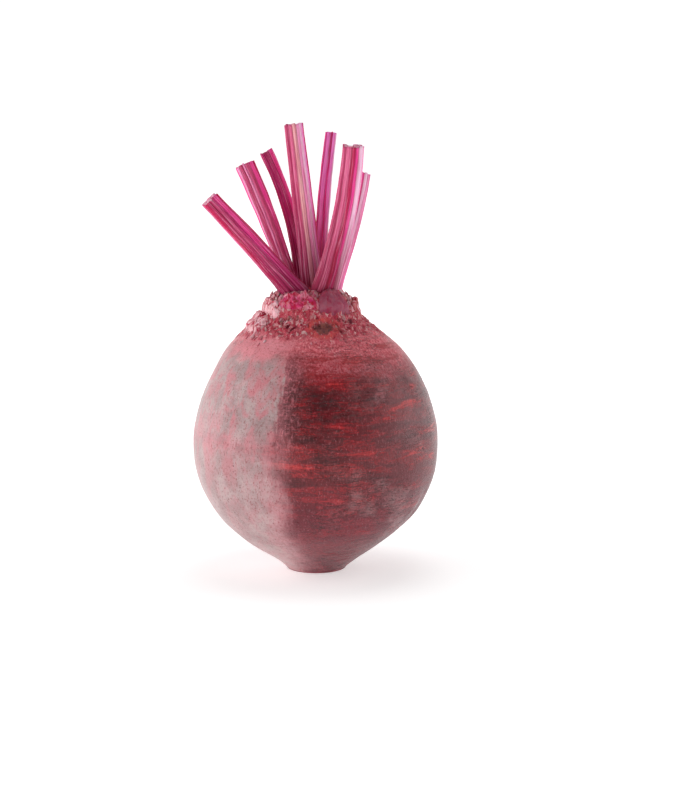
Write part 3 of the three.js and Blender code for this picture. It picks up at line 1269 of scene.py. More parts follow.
@dataclass
class StalkPath:
    """A leaf stalk's middle line and its sections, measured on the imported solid."""

    middles: list[Vector]
    tangents: list[Vector]
    rings: np.ndarray

    STEP = 1.0 * MM
    SUNK = 3.0 * MM
    KNOTS = 14
    BEND = 3
    END_SHARE = 8
    END_MARGIN = 2.5 * MM
    ANGLES = 96
    NEIGHBOURS = 3
    RING_NEIGHBOURS = 2
    USUAL_RADIUS = 2.5 * MM

    @classmethod
    def measure(cls, solid: Solid, points_round: int, clear_share: float) -> "StalkPath":
        """Measures a stalk.

        Args:
            solid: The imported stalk.
            points_round: How many points each section gets.
            clear_share: The share of its length, from the foot, where its neighbours cut it.

        Returns:
            The stalk's path, from inside the crown to the tip.
        """
        order = solid.points[:, 2].argsort()
        few = max(cls.END_SHARE, len(order) // cls.END_SHARE)
        foot = Vector(solid.points[order[:few]].mean(0))
        tip = Vector(solid.points[order[-few:]].mean(0))
        chord = (tip - foot).normalized()
        spans = (solid.points - np.array(foot)) @ np.array(chord)
        start, end = float(spans.min()), float(spans.max())
        clear = start + (end - start) * clear_share
        knots = []
        for i in range(cls.KNOTS):
            along = clear + (end - cls.END_MARGIN - clear) * i / (cls.KNOTS - 1)
            middle = solid.slice_middle(foot + chord * along, chord)
            if middle is not None:
                knots.append(middle)
        return cls._from_knots(solid, knots, points_round)

    @classmethod
    def _from_knots(cls, solid: Solid, knots: list[Vector], points_round: int) -> "StalkPath":
        """Fits a smooth line through the measured middles and measures the sections on it.

        Args:
            solid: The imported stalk.
            knots: The measured middles, from the foot up.
            points_round: How many points each section gets.

        Returns:
            The stalk's path.
        """
        middle = np.array(knots)
        lengths = np.concatenate([[0], np.cumsum(np.linalg.norm(np.diff(middle, axis=0), axis=1))])
        fits = [np.polyfit(lengths, middle[:, axis], cls.BEND) for axis in range(3)]
        first = np.array([np.polyval(f, 0.0) for f in fits])
        slope = np.array([np.polyval(np.polyder(f), 0.0) for f in fits])
        slope /= np.linalg.norm(slope)
        below = (solid.reach(Vector(first), -Vector(slope)) or 0.0) + cls.SUNK
        sunk = int(math.ceil(below / cls.STEP))
        slope_end = Vector([np.polyval(np.polyder(f), lengths[-1]) for f in fits]).normalized()
        beyond = solid.reach(Vector(knots[-1]), slope_end) or 0.0
        total = lengths[-1] + beyond
        count = int(round(total / cls.STEP))
        full = int(lengths[-1] / cls.STEP) + sunk
        middles = [Vector(first - slope * cls.STEP * (sunk - i)) for i in range(sunk)]
        middles += [Vector([np.polyval(f, total * i / count) for f in fits])
                    for i in range(count + 1)]
        tangents = []
        for i in range(len(middles)):
            ahead = middles[min(i + 1, len(middles) - 1)]
            behind = middles[max(i - 1, 0)]
            tangents.append((ahead - behind).normalized())
        rings = np.stack([
            cls._section(solid, middles[place], tangents[place], points_round)
            for place in (min(max(i, sunk), full) for i in range(len(middles)))])
        return cls(middles, tangents, cls._evened(rings))

    @staticmethod
    def frame_at(tangent: Vector) -> tuple[Vector, Vector]:
        """The directions that a section is laid out along.

        Args:
            tangent: The stalk's direction there.

        Returns:
            The rightward and the frontward direction, both square to the tangent.
        """
        front = (FRONT - tangent * FRONT.dot(tangent)).normalized()
        side = front.cross(tangent).normalized()
        return (side if side.x > 0 else -side), front

    @classmethod
    def _section(cls, solid: Solid, middle: Vector, tangent: Vector, points: int) -> np.ndarray:
        """Measures one section.

        Args:
            solid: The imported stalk.
            middle: The section's middle.
            tangent: The stalk's direction there.
            points: How many points it gets.

        Returns:
            Its points, evenly spaced round it from its left edge, as rightward and frontward.
        """
        side, front = cls.frame_at(tangent)
        reaches = []
        for i in range(cls.ANGLES):
            angle = math.pi - FULL_TURN * i / cls.ANGLES
            direction = side * math.cos(angle) + front * math.sin(angle)
            distance = solid.reach(middle, direction)
            reaches.append(distance if distance is not None else cls.USUAL_RADIUS)
        reaches = np.array(reaches)
        window = range(-cls.NEIGHBOURS, cls.NEIGHBOURS + 1)
        reaches = sum(np.roll(reaches, shift) for shift in window) / len(window)
        angles = math.pi - FULL_TURN * np.arange(cls.ANGLES) / cls.ANGLES
        outline = np.stack([reaches * np.cos(angles), reaches * np.sin(angles)], 1)
        outline = np.roll(outline, -int(outline[:, 0].argmin()), axis=0)
        closed = np.vstack([outline, outline[:1]])
        run = np.concatenate([[0], np.cumsum(np.linalg.norm(np.diff(closed, axis=0), axis=1))])
        even = run[-1] * np.arange(points) / points
        return np.stack([np.interp(even, run, closed[:, axis]) for axis in range(2)], 1)

    @staticmethod
    def _evened(rings: np.ndarray) -> np.ndarray:
        """Averages each section with its neighbours along the stalk.

        Args:
            rings: The sections.

        Returns:
            The averaged sections.
        """
        near = StalkPath.RING_NEIGHBOURS
        padded = np.concatenate([rings[:1]] * near + [rings] + [rings[-1:]] * near)
        width = 2 * near + 1
        return sum(padded[i:i + len(rings)] for i in range(width)) / width


@dataclass
class LeafStalk:
    """One cut leaf stalk with long ribs, a flared foot and a stepped cut."""

    node: str
    front: tuple[Rib, ...]
    seed: int
    foot_tone: Tone = Tone.PURPLE
    foot_share: float = 0.82
    clear_share: float = 0.17
    points_round: int = 108
    groove_depth: float = 0.34
    crest_rise: float = 0.16
    foot_flare: float = 0.16
    cut_step: float = 0.4
    cup: float = 0.35
    cap_insets: tuple[float, ...] = (0.06, 0.14, 0.25, 0.25, 0.2)
    back_ribs: int = 5
    back_shares: tuple[float, float] = (0.7, 1.4)
    back_tones: tuple[Tone, ...] = (
        Tone.MAUVE, Tone.ROSE, Tone.MAGENTA, Tone.BLUSH, Tone.CRIMSON)
    crest_round: float = 0.55
    colour_edge: float = 0.16
    foot_fade: tuple[float, float] = (0.66, 0.04)
    flare_top: float = 0.22
    groove_end: tuple[float, float] = (0.02, 0.15)
    cut_start: tuple[float, float] = (0.02, 0.2)
    cup_start: tuple[float, float] = (0.05, 0.6)
    step_length: float = 3
    dents: Wave = Wave(0.1, 1.6)
    dent_stretch: float = 0.12
    waver: float = 0.18
    waver_stretch: float = 0.13

    def ribs(self) -> list[tuple[float, float, Colour, float]]:
        """All ribs round the stalk: the front ones as given, the back ones drawn at random.

        Returns:
            For each rib its start and end as shares of the way round, its colour, and how far
            its cut end stands off the others, in millimetres.
        """
        draw = random.Random(self.seed)
        back = [Rib(draw.uniform(*self.back_shares), draw.choice(self.back_tones))
                for _ in range(self.back_ribs)]
        laid, start = [], 0.0
        for group in (self.front, back):
            total = sum(rib.share for rib in group)
            for rib in group:
                end = start + 0.5 * rib.share / total
                laid.append((start, end, rib.tone.value, draw.uniform(-1, 1) * self.cut_step))
                start = end
        return laid

    def rib_at(self, ribs: list, share: float) -> tuple[float, Colour, float]:
        """What the ribs say at a place round the stalk.

        Args:
            ribs: The ribs.
            share: The place, as a share of the way round from the left edge.

        Returns:
            How near the place is to a rib's crest, 0 to 1; its colour; its cut end's offset.
        """
        for i, (start, end, colour, offset) in enumerate(ribs):
            if start <= share < end or i == len(ribs) - 1:
                across = min(1.0, max(0.0, (share - start) / (end - start)))
                crest = math.sin(math.pi * across) ** self.crest_round
                _, _, left, _ = ribs[i - 1]
                _, _, right, _ = ribs[(i + 1) % len(ribs)]
                edge = self.colour_edge
                colour = blend(colour, left, 0.5 * ease(edge, 0.0, across))
                colour = blend(colour, right, 0.5 * ease(1 - edge, 1.0, across))
                return crest, colour, offset
        raise ValueError("a stalk has at least one rib")

    def tube(self, stations: int) -> bmesh.types.BMesh:
        """A straight closed tube of radius 1 with a ring of points at each whole height.

        Args:
            stations: How many rings it has, from height 0.

        Returns:
            The mesh, with more rings on its upper end.
        """
        mesh = bmesh.new()
        top = stations - 1
        bmesh.ops.create_cone(mesh, cap_ends=True, segments=self.points_round, radius1=1.0,
                              radius2=1.0, depth=top, matrix=Matrix.Translation((0, 0, top / 2)))
        upright = [e for e in mesh.edges if abs(e.verts[0].co.z - e.verts[1].co.z) > 0.5]
        bmesh.ops.subdivide_edges(mesh, edges=upright, cuts=top - 1, use_grid_fill=True)
        cap = max(mesh.faces, key=lambda face: face.calc_center_median().z)
        for inset in self.cap_insets:
            bmesh.ops.inset_individual(mesh, faces=[cap], thickness=inset, depth=0.0)
        return mesh

    def build(self, material: bpy.types.Material) -> bpy.types.Object:
        """Builds and dresses the stalk.

        Args:
            material: The stalk's skin.

        Returns:
            The finished piece.
        """
        solid = Solid(self.node)
        path = StalkPath.measure(solid, self.points_round, self.clear_share)
        solid.free()
        ribs = self.ribs()
        around = [self.rib_at(ribs, i / self.points_round) for i in range(self.points_round)]
        draw = random.Random(self.seed + 1)
        wander = Vector([draw.uniform(0, 50) for _ in range(3)])
        last = len(path.middles) - 1
        mesh = self.tube(last + 1)
        crests, cuts, stripes, grains = [], [], [], []
        for vert in mesh.verts:
            turn = math.atan2(vert.co.y, vert.co.x) / FULL_TURN
            index = round(turn * self.points_round) % self.points_round
            inward = 1 - math.hypot(vert.co.x, vert.co.y)
            station = min(last, round(vert.co.z))
            crest, colour, offset = around[index]
            low = ease(*self.foot_fade, station / last)
            crests.append(max(crest, ease(*self.groove_end, inward)))
            cuts.append(ease(*self.cut_start, inward))
            stripes.append(blend(colour, self.foot_tone.value, self.foot_share * low))
            half = float(np.ptp(path.rings[station][:, 0])) / 2 / MM
            grains.append((math.cos(turn * FULL_TURN) * half, math.sin(turn * FULL_TURN) * half,
                           station * path.STEP / MM))
            vert.co = self.placed(path, index, station, inward, crest, offset, wander)
        bmesh.ops.recalc_face_normals(mesh, faces=mesh.faces)
        piece = link_object(f"leaf_{self.node}", mesh)
        store(piece, "rib", Stored.NUMBER, crests)
        store(piece, "cut", Stored.NUMBER, cuts)
        store(piece, "stripe", Stored.COLOUR, stripes)
        store(piece, "grain", Stored.VECTOR, grains)
        finish_piece(piece, material)
        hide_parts(self.node)
        return piece

    def placed(self, path: StalkPath, index: int, station: int, inward: float, crest: float,
               offset: float, wander: Vector) -> Vector:
        """Where a point of the straight tube goes on the stalk.

        Args:
            path: The stalk's path.
            index: The point's number in its ring.
            station: Its ring.
            inward: How far it lies in from the skin, as a share of the radius.
            crest: How near it is to a rib's crest, 0 to 1.
            offset: How far its rib's cut end stands off the others, in millimetres.
            wander: A place in the noise of this stalk's own.

        Returns:
            The place.
        """
        last = len(path.middles) - 1
        ring = path.rings[station]
        rightward, frontward = ring[index]
        side, front = path.frame_at(path.tangents[station])
        ahead, behind = ring[(index + 1) % len(ring)], ring[index - 1]
        outward = Vector((behind[1] - ahead[1], ahead[0] - behind[0])).normalized()
        flare = 1 + self.foot_flare * ease(self.flare_top, 0.0, station / last)
        local = Vector((rightward / MM, frontward / MM, station * self.dent_stretch))
        lift = self.crest_rise * crest - self.groove_depth * (1 - crest)
        lift += self.dents.height * noise.noise(local / self.dents.length + wander)
        lift += self.waver * noise.noise(Vector((0, 0, station * self.waver_stretch)) + wander)
        x = rightward * flare + outward.x * lift * MM
        y = frontward * flare + outward.y * lift * MM
        end = ease(last - self.step_length, last, station) * (1 - ease(0.0, 0.5, inward))
        shift = (end * offset - self.cup * ease(*self.cup_start, inward)) * MM
        return (path.middles[station] + side * x * (1 - inward) + front * y * (1 - inward)
                + path.tangents[station] * shift)


STALKS = (
    LeafStalk("stalk_1", (
        Rib(0.1, Tone.BLUSH), Rib(0.3, Tone.CRIMSON), Rib(0.2, Tone.DUSK), Rib(0.16, Tone.MAUVE),
        Rib(0.08, Tone.MAGENTA), Rib(0.26, Tone.HOT)), 11),
    LeafStalk("stalk_2", (
        Rib(0.14, Tone.HOT), Rib(0.18, Tone.BLUSH), Rib(0.22, Tone.DUSK), Rib(0.08, Tone.BLUSH),
        Rib(0.2, Tone.MAUVE), Rib(0.2, Tone.HOT)), 12),
    LeafStalk("stalk_3", (
        Rib(0.35, Tone.MAGENTA), Rib(0.35, Tone.MAGENTA), Rib(0.3, Tone.HOT)), 13),
    LeafStalk("stalk_4", (
        Rib(0.14, Tone.MAUVE), Rib(0.14, Tone.DUSK), Rib(0.2, Tone.ROSE), Rib(0.18, Tone.CREAM),
        Rib(0.14, Tone.BLUSH), Rib(0.12, Tone.PEARL), Rib(0.1, Tone.ORCHID)), 14),
    LeafStalk("stalk_5", (
        Rib(0.15, Tone.HOT), Rib(0.3, Tone.ORCHID), Rib(0.08, Tone.HOT), Rib(0.22, Tone.ORCHID),
        Rib(0.25, Tone.PEARL)), 15, Tone.MAGENTA, 0.6),
    LeafStalk("stalk_6", (
        Rib(0.24, Tone.MAUVE), Rib(0.22, Tone.ROSE), Rib(0.14, Tone.CRIMSON),
        Rib(0.14, Tone.HOT), Rib(0.24, Tone.PEARL)), 16, Tone.WINE),
    LeafStalk("stalk_7", (
        Rib(0.2, Tone.HOT), Rib(0.2, Tone.PEARL), Rib(0.3, Tone.BLUSH),
        Rib(0.3, Tone.PEARL)), 17, Tone.HOT, 0.5, clear_share=0.34),
)


# ---------------------------------------------------------------- torn leaf bases


class Tissue(Enum):
    """Colours of the torn tissue round the crown."""

    WHITE = tint(254, 220, 218)
    PALE = tint(250, 192, 198)
    PINK = tint(232, 134, 152)
    MAGENTA = tint(206, 36, 108)
    PLUM = tint(150, 66, 92)
    BROWN = tint(172, 90, 82)
    CRIMSON = tint(184, 20, 60)


@dataclass
class LeafBase:
    """The torn base of an older leaf: a curved scale that stands on the crown. Sizes in mm."""

    node: str
    tissue: Tissue
    seed: int
    spread: float = 1.15
    thickness: float = 2.4
    lean: float = 0.25
    tear: float = 0.9
    crease: float = 0.35
    pale: float = 0.35
    rise: float = 0.0
    torn: float = 1.0
    across: int = 44
    upward: int = 20
    sunk: float = 2.5
    roundness: float = 0.5
    notches: tuple[float, float] = (4.1, 11)
    notch_gap: float = 1.7
    notch_shift: float = 3
    notch_share: float = 0.8
    notch_level: float = 0.3
    corner: tuple[float, float] = (0.22, 0.3)
    corner_power: int = 6
    edge_power: int = 4
    anchor_share: float = 0.62
    outer_share: float = 0.62
    inner_share: float = 0.38
    inner_foot: float = 0.25
    top_thinning: float = 0.55
    thinning_start: float = 0.3
    fold: tuple[float, float] = (1.5, 7)
    small_fold: tuple[float, float] = (0.6, 2.5)
    small_fold_share: float = 0.4
    small_fold_shift: float = 9
    patch_length: float = 2.2
    patch_fade: tuple[float, float] = (-0.1, 0.35)
    edge_fade: tuple[float, float] = (2.2, 0.3)
    streak_length: float = 0.9
    streak_upright: float = 0.35
    streak_fade: tuple[float, float] = (0.05, -0.45)
    streak_strength: float = 1.3

    def build(self, crown: Crown, material: bpy.types.Material) -> bpy.types.Object:
        """Builds and dresses the scale.

        Args:
            crown: The crown it stands on.
            material: The torn flesh.

        Returns:
            The finished piece.
        """
        solid = Solid(self.node)
        offsets = solid.points[:, :2] - np.array(crown.middle.xy)
        centre = math.atan2(offsets[:, 1].mean(), offsets[:, 0].mean())
        turns = turn_between(np.arctan2(offsets[:, 1], offsets[:, 0]), centre)
        half_span = float(np.abs(turns).max()) * self.spread
        low, high = solid.low.z / MM - self.sunk, solid.high.z / MM + self.rise
        solid.free()
        mesh = bmesh.new()
        bmesh.ops.create_grid(mesh, x_segments=self.across, y_segments=self.upward, size=1.0)
        made = bmesh.ops.extrude_face_region(mesh, geom=mesh.faces[:])["geom"]
        raised = {g for g in made if isinstance(g, bmesh.types.BMVert)}
        for vert in mesh.verts:
            vert.co = self.placed(crown, vert.co.x, vert.co.y, vert in raised,
                                  (centre, half_span), (low, high))
        bmesh.ops.recalc_face_normals(mesh, faces=mesh.faces)
        bmesh.ops.subdivide_edges(mesh, edges=mesh.edges, cuts=1, smooth=self.roundness,
                                  use_grid_fill=True)
        piece = link_object(f"torn_{self.node}", mesh)
        self.colour(piece, high)
        finish_piece(piece, material)
        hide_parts(self.node)
        return piece

    def placed(self, crown: Crown, u: float, v: float, raised: bool,
               span: tuple[float, float], levels: tuple[float, float]) -> Vector:
        """Where a point of the flat grid goes on the scale.

        Args:
            crown: The crown.
            u: Place across the scale, -1 to 1.
            v: Place up the scale, -1 to 1.
            raised: Whether the point is on the outer face.
            span: The scale's middle heading and half its spread, in radians.
            levels: Its lowest and highest height.

        Returns:
            The place.
        """
        centre, half_span = span
        low, high = levels
        broad, fine = self.notches
        notch = noise.noise(Vector((u * broad, 0, self.seed * self.notch_gap)))
        notch += self.notch_share * abs(noise.noise(Vector((u * fine, self.notch_shift, self.seed))))
        notch -= self.notch_level
        rounding = self.corner[0] * u * u + self.corner[1] * u ** self.corner_power
        top = low + (high - low) * (1 - rounding) + notch * self.tear
        height = low + (top - low) * (v + 1) / 2
        heading = centre + u * half_span
        anchor = low + (high - low) * self.anchor_share
        reach = crown.reach(heading, min(height, anchor))
        reach += self.lean * max(0.0, height - anchor)
        edge = (1 - abs(u) ** self.edge_power) * ease(-1.0, 0.0, v)
        arc = heading * reach
        fold = noise.noise(Vector((arc / self.fold[0], height / self.fold[1], self.seed)))
        fold += self.small_fold_share * noise.noise(Vector((
            arc / self.small_fold[0], height / self.small_fold[1],
            self.seed + self.small_fold_shift)))
        if raised:
            thin = 1 - self.top_thinning * ease(self.thinning_start, 1.0, v)
            reach += edge * (self.thickness * self.outer_share * thin + self.crease * fold)
        else:
            foot = self.inner_foot * ease(0.0, -1.0, v)
            reach -= self.thickness * (self.inner_share + foot)
        return crown.place(heading, reach, height)

    def colour(self, piece: bpy.types.Object, high: float) -> None:
        """Stores the tissue's colour: paler and torn at the upper edge, crimson in its folds.

        Args:
            piece: The scale.
            high: Its highest height.
        """
        colours = []
        for vert in piece.data.vertices:
            point = vert.co / MM
            patch = noise.noise(point / self.patch_length + Vector((self.seed, 0, 0)))
            light = ease(*self.patch_fade, patch) + ease(*self.edge_fade, high - point.z)
            base = blend(self.tissue.value, Tissue.PALE.value, self.pale * light / 2)
            upright = Vector((point.x, point.y, point.z * self.streak_upright))
            streak = noise.noise(upright / self.streak_length + Vector((0, self.seed, 0)))
            dark = self.crease * self.streak_strength * ease(*self.streak_fade, streak)
            colours.append(blend(base, Tissue.CRIMSON.value, dark))
        store(piece, "tissue", Stored.COLOUR, colours)
        store(piece, "torn", Stored.NUMBER, [self.torn] * len(colours))


LEAF_BASES = (
    LeafBase("leaf_base_1", Tissue.PALE, 21, 1.35, 3.0, 0.05, 1.0, 0.3, 0.5),
    LeafBase("leaf_base_2", Tissue.PALE, 22, 1.3, 3.8, -0.2, 1.2, 0.45, 0.4),
    LeafBase("leaf_base_3", Tissue.MAGENTA, 23, 1.35, 1.8, 0.0, 1.5, 0.9, 0.4, 0.8, 0.8),
    LeafBase("leaf_base_4", Tissue.PLUM, 24, 1.2, 3.2, -0.5, 0.4, 0.25, 0.1, 1.2, 0.12),
    LeafBase("leaf_base_5", Tissue.BROWN, 25, 1.25, 2.4, 0.2, 1.3, 0.5, 0.6, 0.4),
    LeafBase("leaf_base_6", Tissue.PINK, 26, 1.25, 2.8, 0.0, 1.1, 0.45),
    LeafBase("leaf_base_7", Tissue.PLUM, 27, 1.35, 2.6, -0.2, 0.6, 0.3, torn=0.4),
)


# ---------------------------------------------------------------- loose shreds


@dataclass(frozen=True)
class ShredBand:
    """A stretch of the crown with torn shreds. Headings in degrees from +X, sizes in mm."""

    headings: tuple[float, float]
    heights: tuple[float, float]
    count: int
    lengths: tuple[float, float]
    lean: tuple[float, float]
    tissues: tuple[Tissue, ...]


@dataclass
class CrownShreds:
    """Small torn scales and flecks that stand on the crown round the stalks' feet."""

    seed: int = 31
    bands: tuple[ShredBand, ...] = (
        ShredBand((-180, -126), (99.5, 103.4), 34, (1.8, 3.4), (0.0, 0.3),
                  (Tissue.WHITE, Tissue.CRIMSON, Tissue.PINK, Tissue.CRIMSON)),
        ShredBand((-132, -78), (100.8, 103.6), 46, (1.2, 2.8), (0.0, 0.45),
                  (Tissue.MAGENTA, Tissue.MAGENTA, Tissue.PINK, Tissue.CRIMSON, Tissue.WHITE)),
        ShredBand((-132, -84), (93.0, 100.0), 60, (0.6, 1.5), (-0.1, 0.1),
                  (Tissue.PINK, Tissue.CRIMSON, Tissue.BROWN, Tissue.PALE)),
        ShredBand((-190, -126), (86.0, 97.0), 80, (0.7, 1.8), (-0.1, 0.15),
                  (Tissue.CRIMSON, Tissue.PINK, Tissue.PALE, Tissue.CRIMSON)),
        ShredBand((-128, -20), (87.5, 97.0), 60, (0.4, 1.0), (-0.2, 0.0),
                  (Tissue.BROWN, Tissue.PINK, Tissue.CRIMSON, Tissue.BROWN)),
        ShredBand((-40, 30), (97.0, 103.0), 40, (1.0, 2.4), (0.0, 0.5),
                  (Tissue.BROWN, Tissue.PALE, Tissue.PLUM)),
        ShredBand((-20, 172), (87.0, 98.5), 110, (0.6, 1.5), (-0.1, 0.15),
                  (Tissue.PINK, Tissue.BROWN, Tissue.CRIMSON, Tissue.BROWN)),
        ShredBand((30, 182), (99.5, 103.6), 80, (1.2, 3.0), (0.0, 0.45),
                  (Tissue.PINK, Tissue.MAGENTA, Tissue.PALE, Tissue.PLUM)),
    )
    sunk: float = 0.4
    torn: float = 0.25
    slopes: tuple[float, float] = (-1.6, 0.3)
    usual_slope: float = -0.6
    slope_share: float = 0.85
    width_shares: tuple[float, float] = (0.4, 1.3)
    thicknesses: tuple[float, float] = (0.25, 0.5)
    twists: tuple[float, float] = (-0.7, 0.7)
    reddening: tuple[float, float] = (0.0, 0.3)
    cuts: int = 3
    taper: float = 0.55
    taper_power: float = 1.5
    ragged: float = 1.1
    ragged_waves: float = 4
    side_gap: float = 9.0
    tip_light: float = 0.25

    def build(self, crown: Crown, material: bpy.types.Material) -> bpy.types.Object:
        """Builds and dresses the shreds as one piece.

        Args:
            crown: The crown they stand on.
            material: The torn flesh.

        Returns:
            The finished piece.
        """
        draw = random.Random(self.seed)
        mesh = bmesh.new()
        colours: list[Colour] = []
        for band in self.bands:
            for _ in range(band.count):
                self.shred(mesh, colours, crown, band, draw)
        bmesh.ops.recalc_face_normals(mesh, faces=mesh.faces)
        piece = link_object("crown_shreds", mesh)
        store(piece, "tissue", Stored.COLOUR, colours)
        store(piece, "torn", Stored.NUMBER, [self.torn] * len(colours))
        finish_piece(piece, material)
        return piece

    def shred(self, mesh: bmesh.types.BMesh, colours: list[Colour], crown: Crown,
              band: ShredBand, draw: random.Random) -> None:
        """Adds one shred: a thin tapered tongue that stands along the crown.

        Args:
            mesh: The shreds so far.
            colours: Their colours so far, one per vertex.
            crown: The crown.
            band: The stretch it belongs to.
            draw: The source of chance.
        """
        heading = math.radians(draw.uniform(*band.headings))
        level = draw.uniform(*band.heights)
        reach = crown.reach(heading, level)
        above = crown.reach(heading, level + 1.0)
        slope = self.usual_slope
        if above:
            slope = max(self.slopes[0], min(self.slopes[1], above - reach))
        length = draw.uniform(*band.lengths)
        width = length * draw.uniform(*self.width_shares)
        thick = draw.uniform(*self.thicknesses)
        lean = draw.uniform(*band.lean) + slope * self.slope_share
        twist = draw.uniform(*self.twists)
        tone = blend(draw.choice(band.tissues).value, Tissue.CRIMSON.value,
                     draw.uniform(*self.reddening))
        key = draw.uniform(0, 40)
        before = len(mesh.verts)
        made = bmesh.ops.create_cube(mesh, size=1.0)["verts"]
        upright = {edge for vert in made for edge in vert.link_edges
                   if abs(edge.verts[0].co.z - edge.verts[1].co.z) > 0.5}
        bmesh.ops.subdivide_edges(mesh, edges=list(upright), cuts=self.cuts)
        for vert in mesh.verts[before:]:
            up = vert.co.z + 0.5
            side = math.copysign(self.side_gap, vert.co.x)
            ragged = noise.noise(Vector((key, up * self.ragged_waves, side)))
            taper = (1 - self.taper * up ** self.taper_power) * (1 + self.ragged * ragged)
            sideways = vert.co.x * width * taper + twist * up * up * length * 0.5
            out = reach - self.sunk + vert.co.y * thick * (1 - 0.5 * up) + lean * up * length
            vert.co = crown.place(heading + sideways / reach, out, level + up * length)
            colours.append(blend(tone, Tissue.WHITE.value, self.tip_light * up))


# ---------------------------------------------------------------- stage


@dataclass(frozen=True)
class Softbox:
    """One soft box: its heading round the object, how high it hangs, its size and its power."""

    name: str
    heading: float
    height: float
    distance: float
    size: tuple[float, float]
    watts: float


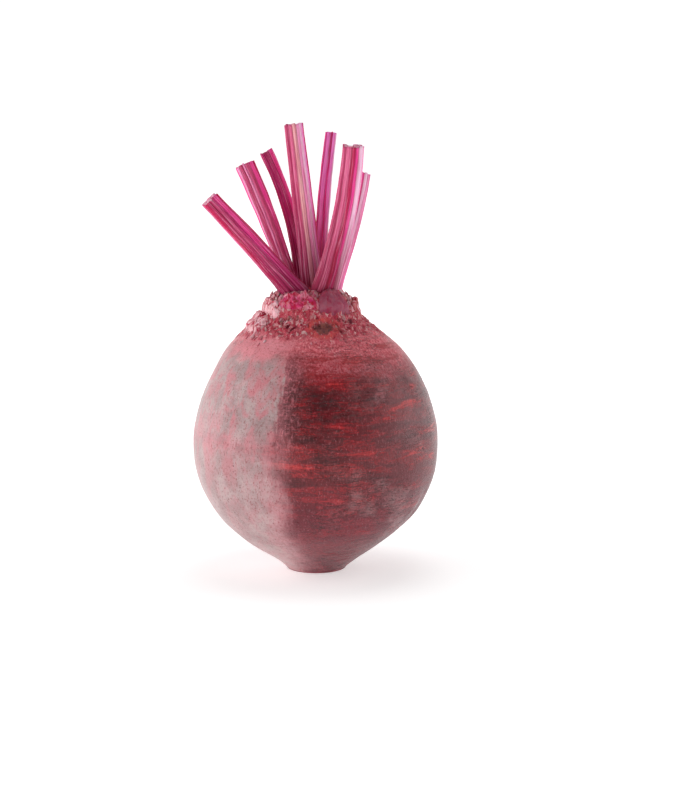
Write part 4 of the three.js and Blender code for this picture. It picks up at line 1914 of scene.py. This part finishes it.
@dataclass
class Studio:
    """A pale sweep of paper, soft boxes and the camera. Sizes in metres, headings in degrees."""

    flat_radius: float = 1.2
    sweep_radius: float = 4.0
    sweep_height: float = 0.8
    lens: float = 98.8
    sensor: float = 36.0
    camera_place: Triple = (0.0126, -0.8, 0.2)
    camera_dip: float = 9.69
    sky: float = 0.3
    shade: float = 0.01
    glow: float = 0.85
    # The glow close to the object and how far it takes to rise: lower near the object to paint a
    # soft shadow round it.
    painted_shadow_glow: float = 0.5
    painted_shadow_reach: tuple[float, float] = (60.0, 900.0)
    front_shade: tuple[float, float] = (-0.6, -0.15)
    paper: Colour = (0.86, 0.86, 0.86, 1)
    light_paper: Colour = (0.9, 0.9, 0.9, 1)
    tooth: Pattern = Pattern(0.02, 3, 0.5)
    segments: int = 96
    rings: int = 16
    aim_height: float = 0.07
    softboxes: tuple[Softbox, ...] = (
        Softbox("left_softbox", -174, 0.36, 0.95, (1.9, 0.8), 7.4),
        Softbox("right_softbox", 8, 0.5, 1.0, (0.6, 0.9), 3.4),
        Softbox("back_softbox", 100, 0.7, 1.1, (0.9, 0.6), 1.8),
        Softbox("top_softbox", 60, 1.15, 0.2, (0.6, 0.6), 2.4),
    )

    def floor(self) -> None:
        """Lays the paper: flat under the object and swept up far behind, all the way round; its glow
        is dimmer near the object, a painted shadow.
        """
        mesh = bmesh.new()
        disc = bmesh.ops.create_circle(mesh, segments=self.segments, radius=self.flat_radius,
                                       cap_ends=True)
        edges = list({edge for vert in disc["verts"] for edge in vert.link_edges})
        for ring in range(1, self.rings + 1):
            share = ring / self.rings
            made = bmesh.ops.extrude_edge_only(mesh, edges=edges)["geom"]
            verts = [g for g in made if isinstance(g, bmesh.types.BMVert)]
            edges = [g for g in made if isinstance(g, bmesh.types.BMEdge) and g.is_boundary]
            radius = self.flat_radius + (self.sweep_radius - self.flat_radius) * share
            for vert in verts:
                vert.co.xy = vert.co.xy.normalized() * radius
                vert.co.z = self.sweep_height * share ** 2
        bmesh.ops.recalc_face_normals(mesh, faces=mesh.faces)
        floor = link_object("floor", mesh)
        sheet = Sheet("floor_paper")
        place = sheet.place()
        away = sheet.vector("LENGTH", {0: place}, "Value")
        # Painted shadow: the paper glows less close to the object, so it darkens round its foot.
        glow = sheet.step(away, Step(*self.painted_shadow_reach, self.painted_shadow_glow, self.glow))
        colour = sheet.mix(sheet.noise(place, self.tooth), self.paper, self.light_paper)
        floor.data.materials.append(sheet.surface({
            "Base Color": colour, "Roughness": 0.9, "Specular IOR Level": 0.1,
            "Emission Color": (1, 1, 1, 1), "Emission Strength": glow}))

    def world(self) -> None:
        """A soft surround that is dark towards the front, as a studio is behind the camera."""
        world = bpy.data.worlds.new("studio")
        bpy.context.scene.world = world
        world.use_nodes = True
        tree = world.node_tree
        tree.nodes.clear()
        place = tree.nodes.new("ShaderNodeTexCoord")
        parts = tree.nodes.new("ShaderNodeSeparateXYZ")
        shade = tree.nodes.new("ShaderNodeMapRange")
        shade.interpolation_type = "SMOOTHSTEP"
        for name, value in (("From Min", self.front_shade[0]), ("From Max", self.front_shade[1]),
                            ("To Min", self.shade), ("To Max", self.sky)):
            shade.inputs[name].default_value = value
        background = tree.nodes.new("ShaderNodeBackground")
        background.inputs["Color"].default_value = (1, 1, 1, 1)
        output = tree.nodes.new("ShaderNodeOutputWorld")
        tree.links.new(place.outputs["Generated"], parts.inputs[0])
        tree.links.new(parts.outputs[1], shade.inputs["Value"])
        tree.links.new(shade.outputs["Result"], background.inputs["Strength"])
        tree.links.new(background.outputs[0], output.inputs["Surface"])

    def hang(self, box: Softbox) -> None:
        """Hangs one soft box so that it faces the object.

        Args:
            box: The soft box.
        """
        data = bpy.data.lights.new(box.name, "AREA")
        data.shape = "RECTANGLE"
        data.size, data.size_y = box.size
        data.energy = box.watts
        lamp = bpy.data.objects.new(box.name, data)
        heading = math.radians(box.heading)
        lamp.location = (box.distance * math.cos(heading), box.distance * math.sin(heading),
                         box.height)
        target = UP * self.aim_height
        lamp.rotation_euler = (target - lamp.location).to_track_quat("-Z", "Y").to_euler()
        bpy.context.scene.collection.objects.link(lamp)

    def camera(self) -> None:
        """Sets up the camera at the front, a little above the crown."""
        data = bpy.data.cameras.new("camera")
        data.lens = self.lens
        data.sensor_width = self.sensor
        camera = bpy.data.objects.new("camera", data)
        camera.location = self.camera_place
        camera.rotation_euler = (math.radians(90 - self.camera_dip), 0, 0)
        bpy.context.scene.collection.objects.link(camera)
        bpy.context.scene.camera = camera

    def build(self) -> None:
        """Builds the whole stage."""
        bpy.context.scene.view_settings.view_transform = "Standard"
        self.floor()
        self.world()
        for box in self.softboxes:
            self.hang(box)
        self.camera()


def main() -> None:
    """Builds the stage and every piece in turn."""
    logging.basicConfig(level=logging.INFO, format="%(name)s %(message)s")
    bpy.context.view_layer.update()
    Studio().build()
    root_skin = RootSkin().make()
    stalk_skin = StalkSkin().make()
    torn_flesh = TornFlesh().make()
    crown = Crown()
    Root().build(root_skin)
    for stalk in STALKS:
        stalk.build(stalk_skin)
    for leaf_base in LEAF_BASES:
        leaf_base.build(crown, torn_flesh)
    CrownShreds().build(crown, torn_flesh)


if __name__ == "__main__":
    main()
